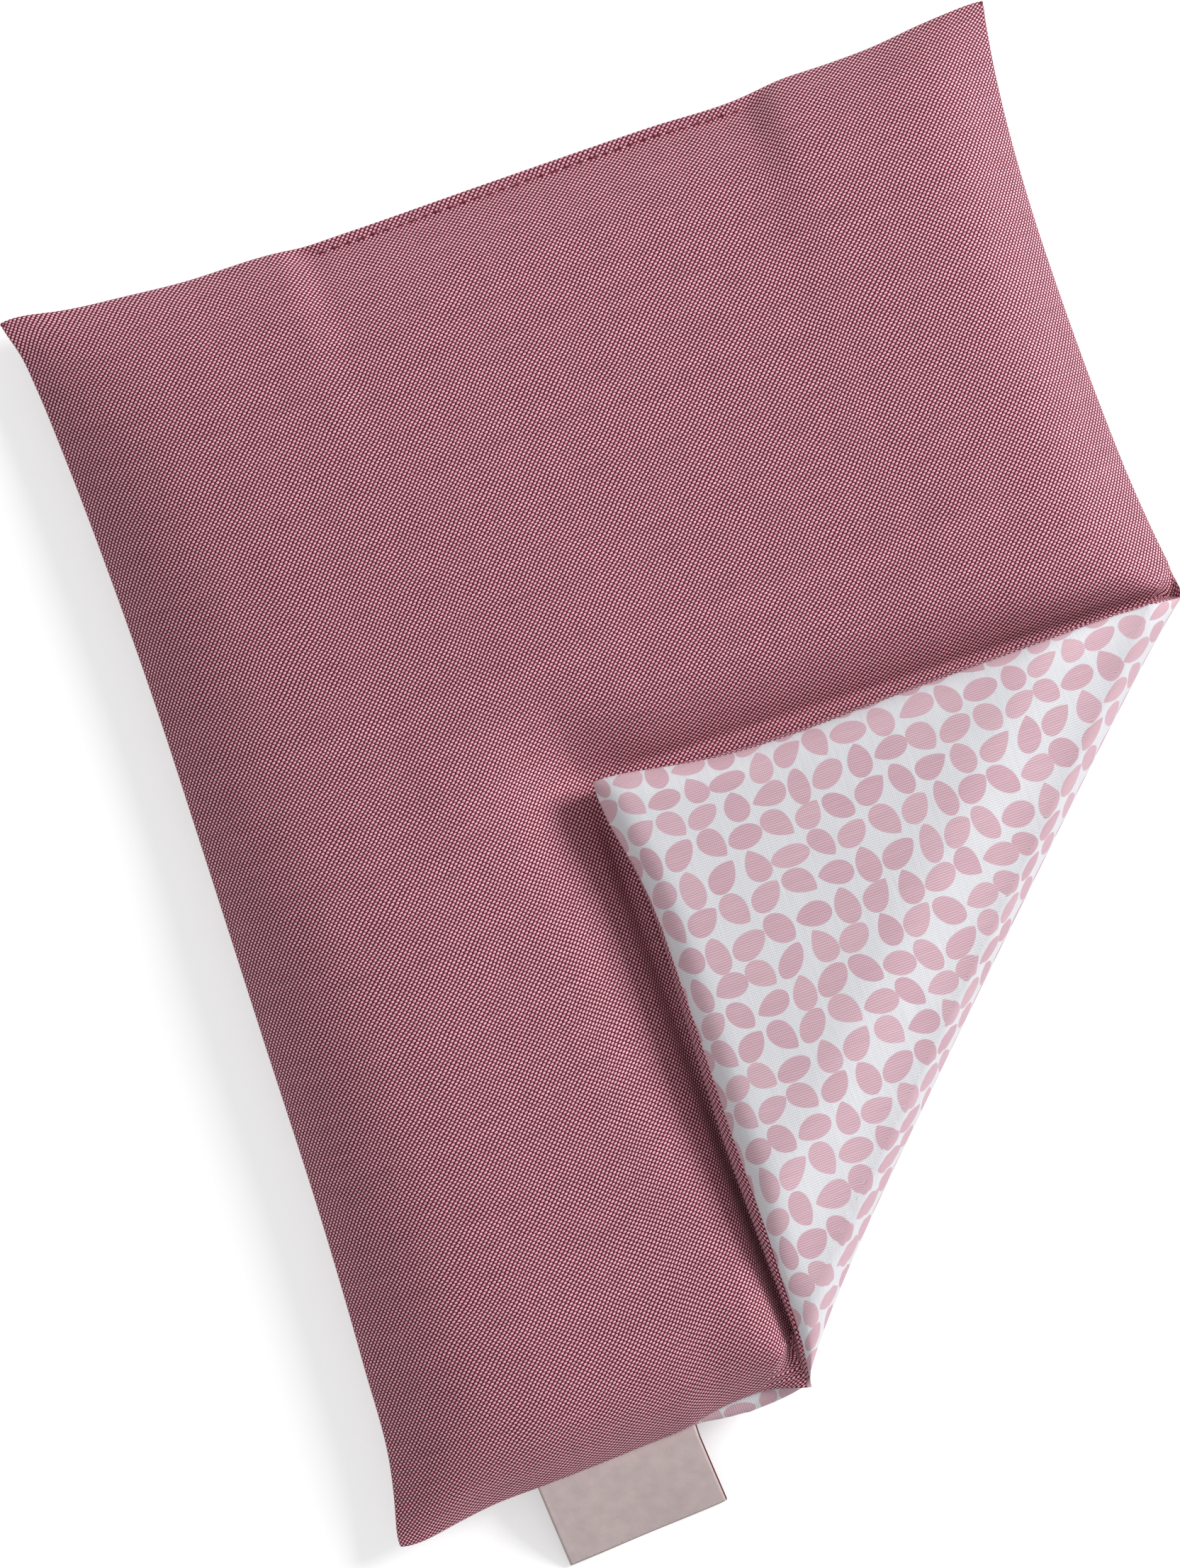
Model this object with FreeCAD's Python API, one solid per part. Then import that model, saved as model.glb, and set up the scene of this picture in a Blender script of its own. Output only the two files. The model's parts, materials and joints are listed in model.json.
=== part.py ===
import FreeCAD, Part
import math
import os

# Eye pillow: a flat cloth bag filled with seed, lying on its back panel with its lower right
# corner folded over onto its front. Millimetres, +Z up. The origin is on the surface that the
# pillow lies on, under the middle of the sewn rectangle. +X runs along the closing edge and +Y
# points at it.

V = FreeCAD.Vector
UP = V(0, 0, 1)

# Sewn pillow, lying filled
WIDTH = 183.0               # corner to corner along the closing edge
LENGTH = 226.0              # corner to corner along the sides
WAISTS = (3.3, 4.2, 5.0, 4.2)   # how far the bottom, right, closing and left edges draw in
SEAM_HEIGHT = 7.0           # of the edge seam above the resting surface
MAIN_HEIGHT = 20.0          # of the front panel's crown
BASE_INSET = 10.0           # from the seam to where the back panel lies flat
CROWN_INSET = 23.0          # from the seam to the level part of the front panel

# Cloth, thread and seams
CLOTH = 0.6
FILL_CLEARANCE = 0.1        # between the cloth and the seed
ALLOWANCE = 9.0             # width of the seam allowances turned to the inside
THREAD = 0.3
SEAM_THREAD_INSET = 1.2     # of the seam's thread inside the edge

# The folded corner
FOLD_RIGHT_Y = 3.5          # where the fold leaves the right edge
FOLD_BOTTOM_X = -14.0       # where the fold leaves the bottom edge
HINGE_INSET = 6.0           # of the crease inside the line between those two places
HINGE_TURN = -1.4           # degrees that the crease is turned from that line
HINGE_HEIGHT = 13.0         # of the crease above the resting surface
HINGE_CLEARANCE = 0.3       # of both halves from the upright plane through the crease
PRESS_CLEARANCE = 0.15      # of both halves from the level of the crease
FLAP_SHIFT = 12.0           # of the folded corner along the fold, towards the right edge
FLAP_WAISTS = (0.0, 1.5, 1.5)   # of the side beyond the crease and the flap's two edges
FLAP_THICKNESS = 12.0
FLAP_SEAM_RISE = 6.0        # of its seam above the crease
FLAP_BED_INSET = 5.0        # from its seam to where it lies flat on the front panel
FLAP_CROWN_INSET = 16.0
FLAP_STRETCH = 1.4          # its outline runs on past the crease, where it is cut off
DIP_MARGIN = 2.0            # level ground around the flap on the front panel
DIP_SLOPE = 24.0            # width of the slope from there up to the crown
BEND_REACH_ENDS = (7.9, 4.1)    # of the cloth beyond the crease at the bottom and right edges
BEND_REACH = 3.2            # of the cloth beyond the crease in between
BEND_TAPER = 12.0           # length of the bend's narrowing at each end

# Turning gap in the closing edge, sewn shut from outside
LIP_START = -37.0
LIP_LENGTH = 84.0
LIP_REACH = 2.8             # beyond the filled part
LIP_ROOT = 2.0              # inside the filled part
LIP_PLIES = 2               # plies of cloth in each half of the lip
STITCH_PITCH = 2.4
STITCH_LENGTH = 1.9
STITCH_INSET = 2.0          # of the row from the edge of the lip

# Woven label, folded in half, with its ends caught in the bottom seam
LABEL_LEFT = -65.6
LABEL_WIDTH = 29.8
LABEL_LENGTH = 16.0
LABEL_THICKNESS = 0.25
LABEL_LEAF_GAP = 0.3
LABEL_TAIL = 8.0
LABEL_CLEARANCE = 0.8       # of its turning line from the seam
LABEL_TIP_CLEARANCE = 0.3   # of its free edge above the resting surface

# How finely curves are made
EDGE_POINTS = 9
DOME_STEPS = 5
FAR = 400.0                 # larger than the pillow


# ---------------------------------------------------------------- outlines and domes

def moved_in(corners, inset):
    """The corners of the same polygon with every side moved inwards."""
    count = len(corners)
    result = []
    for k in range(count):
        here = corners[k]
        before = (here - corners[k - 1]).normalize()
        after = (corners[(k + 1) % count] - here).normalize()
        side_before = UP.cross(before)
        side_after = UP.cross(after)
        share = inset / (1 + side_before.dot(side_after))
        result.append(here + (side_before + side_after) * share)
    return result


def edge_curve(start, end, waist):
    """One edge of the cloth, drawn in between its two corners."""
    along = end - start
    inwards = UP.cross(along).normalize()
    points = []
    for k in range(EDGE_POINTS):
        share = k / (EDGE_POINTS - 1)
        drawn_in = waist * (1 - (2 * share - 1) ** 4)
        points.append(start + along * share + inwards * drawn_in)
    curve = Part.BSplineCurve()
    curve.interpolate(points)
    return curve.toShape()


def outline(corners, waists, inset, z):
    """A closed outline at height z, moved in from the sewn edge by inset."""
    inner = moved_in(corners, inset)
    edges = []
    for k, waist in enumerate(waists):
        start = inner[k] + UP * z
        end = inner[(k + 1) % len(inner)] + UP * z
        edges.append(edge_curve(start, end, waist))
    return Part.Wire(edges)


def dome(corners, waists, seam_z, top_z, spread, skin=0.0):
    """One half of a filled bag, from its seam to its level part at top_z.

    skin is the cloth taken off all round.
    """
    level_z = top_z - math.copysign(skin, top_z - seam_z)
    wires = []
    for k in range(DOME_STEPS + 1):
        angle = math.radians(90 * k / DOME_STEPS)
        inset = skin + spread * (1 - math.cos(angle))
        z = seam_z + (level_z - seam_z) * math.sin(angle)
        wires.append(outline(corners, waists, inset, z))
    return Part.makeLoft(wires, True, True)


def ring(corners, waists, inset, width, z, height):
    """A flat band that follows the edge, inset from it."""
    outer = Part.Face(outline(corners, waists, inset, z))
    inner = Part.Face(outline(corners, waists, inset + width, z))
    return outer.cut(inner).extrude(UP * height)


def prism(low, high):
    """A flat-faced solid between two polygons with parallel sides."""
    faces = [Part.Face(Part.makePolygon(low + low[:1])), Part.Face(Part.makePolygon(high + high[:1]))]
    for k in range(len(low)):
        n = (k + 1) % len(low)
        faces.append(Part.Face(Part.makePolygon([low[k], low[n], high[n], high[k], low[k]])))
    return Part.makeSolid(Part.makeShell(faces))


def block(low, high):
    """A box between two corners."""
    size = high - low
    return Part.makeBox(size.x, size.y, size.z, low)


# ---------------------------------------------------------------- the crease and what it cuts

HALF_W = WIDTH / 2
HALF_L = LENGTH / 2
SEWN = [V(-HALF_W, -HALF_L, 0), V(HALF_W, -HALF_L, 0), V(HALF_W, HALF_L, 0), V(-HALF_W, HALF_L, 0)]
FOLD_RIGHT = V(HALF_W, FOLD_RIGHT_Y, 0)
FOLD_BOTTOM = V(FOLD_BOTTOM_X, WAISTS[0] - HALF_L, 0)
CHORD = (FOLD_RIGHT - FOLD_BOTTOM).normalize()
OUTWARDS_OF_CHORD = CHORD.cross(UP)
HINGE = (FOLD_RIGHT + FOLD_BOTTOM) * 0.5 - OUTWARDS_OF_CHORD * HINGE_INSET
CREASE = FreeCAD.Rotation(UP, HINGE_TURN).multVec(CHORD)
OUTWARDS = CREASE.cross(UP)


def folded_over(corner):
    """Where a corner of the sewn rectangle lies once it is folded over."""
    beyond = OUTWARDS_OF_CHORD * OUTWARDS_OF_CHORD.dot(corner - FOLD_RIGHT)
    return corner - beyond * 2 + CHORD * FLAP_SHIFT


def beyond_crease():
    """Everything from just inside the upright plane through the crease outwards."""
    box = Part.makeBox(2 * FAR, FAR, 2 * FAR, V(-FAR, 0, -FAR))
    turn = FreeCAD.Rotation(CREASE, OUTWARDS, UP, "XYZ")
    box.Placement = FreeCAD.Placement(HINGE - OUTWARDS * HINGE_CLEARANCE, turn)
    return box


TIP = folded_over(SEWN[1])
FLAP = [
    TIP + (FOLD_BOTTOM - TIP) * FLAP_STRETCH,
    TIP + (FOLD_RIGHT - TIP) * FLAP_STRETCH,
    TIP,
]
FLAP_BOTTOM_Z = HINGE_HEIGHT + PRESS_CLEARANCE
FLAP_TOP_Z = FLAP_BOTTOM_Z + FLAP_THICKNESS
FLAP_SEAM_Z = HINGE_HEIGHT + FLAP_SEAM_RISE
FOLD_CUT = beyond_crease()


def dip(level):
    """The hollow that the flap presses into the front panel, with its floor at level."""
    over = MAIN_HEIGHT + CLOTH
    slope = DIP_SLOPE * (over - level) / (MAIN_HEIGHT - level)
    floor = [corner + UP * level for corner in moved_in(FLAP, -DIP_MARGIN)]
    rim = [corner + UP * over for corner in moved_in(FLAP, -DIP_MARGIN - slope)]
    return prism(floor, rim)


def whole(shape):
    """The shape as one clean solid, or a compound where it has several."""
    shape = shape.removeSplitter()
    return shape.Solids[0] if len(shape.Solids) == 1 else Part.makeCompound(shape.Solids)


# ---------------------------------------------------------------- closing lip and label tail

def lip(side):
    """One half of the flat closing lip; side is 1 for the front panel and -1 for the back."""
    edge_y = HALF_L - WAISTS[2]
    z = sorted((SEAM_HEIGHT, SEAM_HEIGHT + side * LIP_PLIES * CLOTH))
    low = V(LIP_START, edge_y - LIP_ROOT, z[0])
    high = V(LIP_START + LIP_LENGTH, edge_y + LIP_REACH, z[1])
    return block(low, high)


def lip_stitches(side):
    """The stitches that show on one face of the closing lip."""
    row_y = HALF_L - WAISTS[2] + LIP_REACH - STITCH_INSET
    face_z = SEAM_HEIGHT + side * LIP_PLIES * CLOTH
    z = sorted((face_z, face_z + side * THREAD))
    stitches = []
    for k in range(int(LIP_LENGTH / STITCH_PITCH)):
        x = LIP_START + (k + 0.5) * STITCH_PITCH - STITCH_LENGTH / 2
        low = V(x, row_y - THREAD / 2, z[0])
        high = V(x + STITCH_LENGTH, row_y + THREAD / 2, z[1])
        stitches.append(block(low, high))
    return Part.makeCompound(stitches)


def bottom_edge_y(x):
    """The bottom edge of the sewn rectangle at x."""
    share = (x + HALF_W) / WIDTH
    return WAISTS[0] * (1 - (2 * share - 1) ** 4) - HALF_L


LABEL_RIGHT = LABEL_LEFT + LABEL_WIDTH
LABEL_EDGE_LOW = min(bottom_edge_y(LABEL_LEFT), bottom_edge_y(LABEL_RIGHT))
LABEL_EDGE_HIGH = max(bottom_edge_y(LABEL_LEFT), bottom_edge_y(LABEL_RIGHT))
LABEL_HINGE_Y = LABEL_EDGE_LOW - LABEL_CLEARANCE


def label_tail():
    """The ends of the ribbon, between the two seam allowances."""
    low = V(LABEL_LEFT, LABEL_EDGE_HIGH + CLOTH, SEAM_HEIGHT - LABEL_THICKNESS)
    high = V(LABEL_RIGHT, LABEL_EDGE_HIGH + LABEL_TAIL, SEAM_HEIGHT + LABEL_THICKNESS)
    return block(low, high)


def label():
    """The folded ribbon outside the seam, two leaves joined at the fold, hanging down."""
    half = LABEL_THICKNESS + LABEL_LEAF_GAP / 2
    leaves = block(V(LABEL_LEFT, -LABEL_LENGTH, -half), V(LABEL_RIGHT, 0, half))
    gap_low = V(LABEL_LEFT, LABEL_THICKNESS - LABEL_LENGTH, -LABEL_LEAF_GAP / 2)
    gap_high = V(LABEL_RIGHT, 0, LABEL_LEAF_GAP / 2)
    ribbon = leaves.cut(block(gap_low, gap_high))
    fold = [e for e in ribbon.Edges if e.CenterOfMass.y < 0.01 - LABEL_LENGTH and e.Length > 1]
    ribbon = ribbon.makeFillet(LABEL_THICKNESS, fold)
    drop = SEAM_HEIGHT - LABEL_TIP_CLEARANCE - half
    droop = math.degrees(math.asin(drop / LABEL_LENGTH))
    ribbon.rotate(V(0, 0, 0), V(1, 0, 0), droop)
    ribbon.translate(V(0, LABEL_HINGE_Y, SEAM_HEIGHT))
    return ribbon


# ---------------------------------------------------------------- the two halves of the pillow

def allowance(corners, waists, seam_z, side):
    """A panel's seam allowance, turned in flat along the seam."""
    z = min(seam_z, seam_z + side * CLOTH)
    return ring(corners, waists, CLOTH / 2, ALLOWANCE, z, CLOTH)


def seam_thread(corners, waists, seam_z):
    """The lockstitched seam's thread, between the two allowances."""
    return ring(corners, waists, SEAM_THREAD_INSET, THREAD, seam_z - THREAD / 2, THREAD)


def seam_slot(corners, waists, seam_z):
    """The space that both allowances take up in the seed."""
    half = CLOTH + FILL_CLEARANCE
    return ring(corners, waists, 0, ALLOWANCE + CLOTH, seam_z - half, 2 * half)


def main_half(side, skin):
    """The main part above or below its seam, with skin taken off, before the crease cuts it."""
    top = MAIN_HEIGHT if side > 0 else 0.0
    spread = CROWN_INSET if side > 0 else BASE_INSET
    shape = dome(SEWN, WAISTS, SEAM_HEIGHT, top, spread, skin)
    if side > 0:
        shape = shape.cut(dip(HINGE_HEIGHT - PRESS_CLEARANCE - skin))
    return shape


def flap_half(side, skin):
    """The folded corner above or below its seam, with skin taken off."""
    top = FLAP_TOP_Z if side > 0 else FLAP_BOTTOM_Z
    spread = FLAP_CROWN_INSET if side > 0 else FLAP_BED_INSET
    return dome(FLAP, FLAP_WAISTS, FLAP_SEAM_Z, top, spread, skin)


def panel(half, corners, waists, seam_z, side):
    """One cloth panel: its filled face and its turned-in allowance."""
    skin = half(side, 0.0).cut(half(side, CLOTH))
    return skin.fuse(allowance(corners, waists, seam_z, side))


def filling(half, corners, waists, seam_z):
    """The seed in one part of the bag."""
    skin = CLOTH + FILL_CLEARANCE
    seed = half(1, skin).fuse(half(-1, skin))
    return seed.cut(seam_slot(corners, waists, seam_z))


def fold_band(skin):
    """The outer cloth's bend around the crease as a solid, with skin taken off."""
    start = -CREASE.dot(HINGE - FOLD_BOTTOM)
    end = CREASE.dot(FOLD_RIGHT - HINGE)
    full = FLAP_TOP_Z / 2
    low = (FLAP_SEAM_Z - SEAM_HEIGHT) / 2
    stations = (
        (start, BEND_REACH_ENDS[0], low),
        (start + BEND_TAPER, BEND_REACH, full),
        (end - BEND_TAPER, BEND_REACH, full),
        (end, BEND_REACH_ENDS[1], low),
    )
    wires = []
    for along, reach, half in stations:
        middle = HINGE + CREASE * along + UP * HINGE_HEIGHT - OUTWARDS * (HINGE_CLEARANCE / 2)
        if half == full:
            middle.z = full
        bottom = middle - UP * (half - skin)
        top = middle + UP * (half - skin)
        tilt = math.radians(45)
        out = math.cos(tilt) * (reach - skin)
        rise = math.sin(tilt) * (half - skin)
        points = [bottom, middle + OUTWARDS * out - UP * rise, middle + OUTWARDS * (reach - skin)]
        points += [middle + OUTWARDS * out + UP * rise, top]
        curve = Part.BSplineCurve()
        curve.interpolate(points)
        wires.append(Part.Wire([curve.toShape(), Part.LineSegment(top, bottom).toShape()]))
    return Part.makeLoft(wires, True, True)


def build():
    """Every node of the pillow, by name."""
    main = (main_half, SEWN, WAISTS, SEAM_HEIGHT)
    corner = (flap_half, FLAP, FLAP_WAISTS, FLAP_SEAM_Z)
    lips = lip(1).fuse(lip(-1))
    tail = label_tail()
    thread = seam_thread(SEWN, WAISTS, SEAM_HEIGHT)
    corner_thread = seam_thread(FLAP, FLAP_WAISTS, FLAP_SEAM_Z)
    buried = thread.fuse(tail)
    nodes = {
        "front_panel": panel(*main, 1).fuse(lip(1)).cut(buried).cut(FOLD_CUT),
        "back_panel": panel(*main, -1).fuse(lip(-1)).cut(buried).cut(FOLD_CUT),
        "seed_filling": filling(*main).cut(lips).cut(FOLD_CUT),
        "edge_seam_thread": thread.cut(lips).cut(tail).cut(FOLD_CUT),
        "closing_topstitch": lip_stitches(1),
        "closing_bobbin_thread": lip_stitches(-1),
        "label_tail": tail,
        "label": label(),
        "corner_front_panel": panel(*corner, -1).cut(corner_thread).cut(FOLD_CUT),
        "corner_back_panel": panel(*corner, 1).cut(corner_thread).cut(FOLD_CUT),
        "corner_seed_filling": filling(*corner).cut(FOLD_CUT),
        "corner_seam_thread": corner_thread.cut(FOLD_CUT),
        "fold_back_panel": fold_band(0.0).cut(fold_band(CLOTH)),
    }
    return nodes


os.makedirs("parts", exist_ok=True)
for name, shape in build().items():
    solid = whole(shape)
    solid.exportStep("parts/" + name + ".step")
    print(name, len(solid.Solids), round(solid.Volume, 1), solid.isValid(), solid.BoundBox)
print("hinge", HINGE + UP * HINGE_HEIGHT, "axis", CREASE, "label hinge y", LABEL_HINGE_Y)
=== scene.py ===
import json
import math

import bmesh
import bpy
import numpy as np
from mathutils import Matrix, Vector


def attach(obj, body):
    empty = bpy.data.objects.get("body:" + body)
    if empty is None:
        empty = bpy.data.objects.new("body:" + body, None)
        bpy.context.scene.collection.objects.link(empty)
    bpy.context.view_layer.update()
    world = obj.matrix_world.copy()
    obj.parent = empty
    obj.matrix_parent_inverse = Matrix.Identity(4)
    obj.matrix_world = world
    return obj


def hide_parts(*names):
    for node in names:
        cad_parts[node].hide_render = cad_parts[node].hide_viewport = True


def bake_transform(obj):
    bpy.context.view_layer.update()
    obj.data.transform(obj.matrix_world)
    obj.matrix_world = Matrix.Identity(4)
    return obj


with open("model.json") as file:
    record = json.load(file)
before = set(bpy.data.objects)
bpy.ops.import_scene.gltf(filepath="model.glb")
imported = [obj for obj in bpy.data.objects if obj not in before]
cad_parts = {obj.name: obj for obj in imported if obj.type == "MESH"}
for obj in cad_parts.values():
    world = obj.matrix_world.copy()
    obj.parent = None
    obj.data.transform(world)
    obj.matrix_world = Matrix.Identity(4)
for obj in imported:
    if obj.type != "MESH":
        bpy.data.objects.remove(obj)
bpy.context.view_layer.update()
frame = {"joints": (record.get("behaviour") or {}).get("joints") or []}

# ---- The view: the pillow lies on a table and is seen from straight above,
# turned a little anticlockwise, close enough to fill the frame.
VIEW_CENTRE = (-0.0180, 0.0038)
VIEW_LENGTH = 0.2765  # of the table from the view's top to its bottom
VIEW_DISTANCE = 1.3
VIEW_TURN = -18.26  # degrees
SEAM_LEVEL = 0.007  # the view is set on the seam
SENSOR_HEIGHT = 24

camera = bpy.data.objects.new("camera", bpy.data.cameras.new("camera"))
camera.data.sensor_fit = "VERTICAL"
camera.data.sensor_height = SENSOR_HEIGHT
camera.data.lens = SENSOR_HEIGHT * VIEW_DISTANCE / VIEW_LENGTH
camera.location = (*VIEW_CENTRE, SEAM_LEVEL + VIEW_DISTANCE)
camera.rotation_euler = (0, 0, math.radians(VIEW_TURN))
bpy.context.scene.collection.objects.link(camera)
bpy.context.scene.camera = camera


# ---- Front panel: one piece of soft melange cotton, wine red warp and pale pink
# weft, cut square and sewn to the back panel face to face, then turned out.
# The seeds push it up; where the corner lies folded on it, it sinks.
MM = 0.001
WIDTH, LENGTH = 183, 226  # from seam to seam, square
HALF_WIDTH, HALF_LENGTH = WIDTH / 2, LENGTH / 2
CUT_WIDTH, CUT_LENGTH = 187.0, 231.0  # the same of the flat cloth, before it is filled

# The crease on which the lower right corner is folded over.
fold_joint = next(j for j in frame["joints"] if j["name"] == "corner_fold")
HINGE = np.array(fold_joint["pos_m"][:2]) / MM
ALONG = np.array(fold_joint["axis"][:2])
OUTWARDS = np.array((ALONG[1], -ALONG[0]))
SPLIT = -0.3  # the cloth is parted here, just inside the crease

# The four seams as they draw in: where along the bag, and how far from its middle.
LEFT_EDGE = ((-113.4, -93.0), (-110, -92.1), (-104, -90.5), (-98, -89.3),
             (-80, -88.2), (-56, -87.3), (-20, -87.0), (16, -86.7),
             (40, -86.6), (64, -87.1), (88, -88.2), (100, -89.1),
             (106, -89.9), (110, -91.2), (113.5, -92.7))
RIGHT_EDGE = ((-113, 92), (-20, 92), (4, 91.3), (10, 90.5), (22, 89.4),
              (40, 88.4), (58, 87.9), (76, 87.9), (94, 88.8), (104, 89.9),
              (110, 90.9), (113.5, 91.9))
TOP_EDGE = ((-92, 114.4), (-86, 113.7), (-80, 112.5), (-68, 111.3), (-58, 110.5),
            (-43, 110.35), (-39.5, 110.1), (-36.5, 109.7), (-30, 109.7), (-2, 110.2),
            (28, 110.6), (46.5, 110.65), (49.2, 111.05), (52, 111.4), (60, 111.45),
            (70, 111.8), (78, 112.8), (86, 113.5), (92, 113.9))
BOTTOM_EDGE = ((-92, -114.4), (-86, -113.9), (-80, -112.7), (-74, -111.6),
               (-62, -110.8), (-44, -110.0), (-32, -109.8), (-26, -110.0),
               (-20, -109.8), (-14, -109.6), (20, -109.6), (92, -110))
# How far the lower seam lies in from the edge, where the back panel rolls out.
ROLLED_HEM = ((-92, 0), (-42, 0), (-36, 0.4), (-30, 2.0), (-25, 2.6),
              (-19, 2.4), (-14, 1.8), (92, 1.8))

# How steeply the cloth stands, in degrees, at so many mm in from each seam.
LEFT_SLOPE = ((0, 40), (0.4, 55), (1, 58), (3, 48), (5, 41), (7, 37), (9, 34),
              (12, 28), (15, 23), (20, 12), (25, 8), (35, 0))
RIGHT_SLOPE = ((0, 40), (0.4, 55), (1, 55), (3, 43), (5, 38), (7, 31), (9, 24),
               (12, 14), (15, 8), (20, 3), (35, 0))
BOTTOM_SLOPE = ((0, 40), (0.4, 56), (1, 60), (3, 50), (5, 40), (7, 32), (9, 24),
                (12, 12), (15, 4), (20, 1), (35, 0))
TOP_SLOPE = ((0, 40), (0.4, 54), (1, 56), (3, 47), (5, 41), (7, 37), (9, 33),
             (12, 26), (15, 21), (20, 16), (25, 12), (35, 7), (52, 1), (60, 0))
SLOPE_STEPS, SETTLE_ROUNDS = 400, 4
SEAM_HEIGHT = 6.6
FOLD_SEAM_HEIGHT = 9.3  # where the seam goes up into the fold
FOLD_SEAM_START = -15  # from here towards the crease

CROWN_RISE = 13.4  # from the seam to the crown
CROWN_TILT = (-0.9, 1.4)  # and how much more at the right and the top edge
CROWN_SAG = 3.0  # less seed lies at the upper left
SAG_LEFT, SAG_UP = (14, 70), (-8, 26)
SOFT_RIDGES = ((-12, 34, -38, 8, 1.0, 9.0), (-38, 8, -50, -14, 0.9, 9.0),
               (60, 31, 45, 15, 0.5, 5.0))  # from, to, height, half width

# The closed lip of the top edge: pressed flat, dented by its stitches and puckered
# at both ends.
LIP_ENDS = (-37.0, 47.0)
LIP_REACH = 2.6  # how far in from the edge it is flat
LIP_EASE = 2  # at each end
LIP_EDGE = (-0.1, 0.35)  # it comes to its full height between these
LIP_LIFT, LIP_BACK = 0.7, 4  # its height over the seam, lost again over this
LIP_DENT, LIP_DENT_WIDTH = 0.4, 0.5
STITCH_ROW = 2.0  # in from the edge
PUCKER_DEPTH, PUCKER_WIDTH, PUCKER_REACH = 1.3, 1.8, 8
PUCKER_START, RIDGE_START = (0, 2), (2, 6)
RIDGE_PLACE, RIDGE_LEAN = 3.4, 0.12  # of the small ridge beside each pucker
RIDGE_HEIGHT, RIDGE_WIDTH, RIDGE_REACH = 0.55, 1.9, 9

# The folded corner's outline, and the bed that it presses into the front.
FLAP_TIP = np.array((-18.1, 4.6))
FLAP_RIGHT = np.array((91.4, 3.6))
FLAP_BOTTOM = np.array((-14.0, -109.6))
BED_HEIGHT = 12.7
BED_LIFT, BED_LIFT_POWER = 0.3, 2.2  # it comes up a little at the corner's edges,
BED_EDGE = 6.5  # over this much,
BED_RISE = 8.0  # and goes on up beyond them
BED_REACH, SIDE_NEARER, LOW_NEARER, TOP_NEARER = 11, 2.5, 4.3, 3.0  # how far out
BED_POWER, SIDE_SOFTER, TOP_SOFTER = 1.7, 0.5, 0.3  # and how sharply
SIDE_GROOVE, TOP_GROOVE = 1.9, 0.7  # it dips beside the corner's edges
GROOVE_OUT, GROOVE_WIDTH = 0.2, 1.1
# where it lies beside the corner, low down beside it, above it and far right above it
BED_SIDE, BED_LOW = ((-2, 12), (0, 10)), ((45, 80), (0, 15))  # down, left
BED_ABOVE, BED_RIGHT = (FLAP_TIP[0] - 4, FLAP_TIP[0] + 14), (40, 80)
BED_EASE = 0.9  # how softly the bed meets the crown

CORNER_ROUNDING = ((0, LENGTH, 1.1), (0, 0, 1.2), (WIDTH, LENGTH, 0.7))
ROUNDING_REACH = 1.7
EDGE_CURL = ((0, 0.4), (0.35, 0.0), (0.8, 0.45), (1.4, 1.15), (2.2, 2.1), (3.2, 3.2))

# Lines of the working grid: their steps in from a seam, and further in.
EDGE_STEPS = (0, 0.35, 0.8, 1.4, 2.2, 3.2, 4.4, 5.8, 7.4, 9.2, 11.2, 13.4, 15.7, 18)
PITCH, FINE_PITCH = 2.3, 0.8
FINE_ACROSS, FINE_UP = (69, 80.2), (115, 122.2)  # around the folded corner's tip
STRETCH_SHARED = 9.0  # neighbouring threads share the cloth's stretch over this
CHART = 100  # mm of cloth to one unit of its chart


def through(template, at):
    """The smooth curve through a template's points, read at these places."""
    x, y = np.array(template, float).T
    slope = np.gradient(y, x)
    at = np.clip(at, x[0], x[-1])
    i = np.clip(np.searchsorted(x, at) - 1, 0, len(x) - 2)
    gap = x[i + 1] - x[i]
    t = (at - x[i]) / gap
    return ((1 + 2 * t) * (1 - t) ** 2 * y[i] + t * (1 - t) ** 2 * gap * slope[i]
            + t * t * (3 - 2 * t) * y[i + 1] - t * t * (1 - t) * gap * slope[i + 1])


def ramp(value, start, end):
    """0 up to the start and 1 from the end on, with a smooth climb between."""
    t = np.clip((value - start) / (end - start), 0, 1)
    return t * t * (3 - 2 * t)


def share_of_rise(slopes, inside):
    """How much of its whole rise the cloth has made so far inside a seam."""
    distance = np.linspace(0, slopes[-1][0], SLOPE_STEPS)
    grade = np.tan(np.radians(np.interp(distance, *np.array(slopes, float).T)))
    risen = np.concatenate(((0,), np.cumsum((grade[1:] + grade[:-1]) / 2)))
    return np.interp(inside, distance, risen / risen[-1])


def across(x, y):
    """Distances along the crease from the hinge, and out past the crease."""
    dx, dy = x - HINGE[0], y - HINGE[1]
    return dx * ALONG[0] + dy * ALONG[1], dx * OUTWARDS[0] + dy * OUTWARDS[1]


def outside_flap(x, y):
    """How far a place lies outside the folded corner's two sewn edges."""
    left = FLAP_TIP[0] + (FLAP_BOTTOM - FLAP_TIP)[0] * (
        (FLAP_TIP[1] - y) / (FLAP_TIP[1] - FLAP_BOTTOM[1]))
    top = FLAP_TIP[1] + (FLAP_RIGHT - FLAP_TIP)[1] * (
        (x - FLAP_TIP[0]) / (FLAP_RIGHT[0] - FLAP_TIP[0]))
    to_left, to_top = left - x, y - top
    return (np.hypot(np.maximum(to_left, 0), np.maximum(to_top, 0))
            + np.minimum(np.maximum(to_left, to_top), 0))


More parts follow.
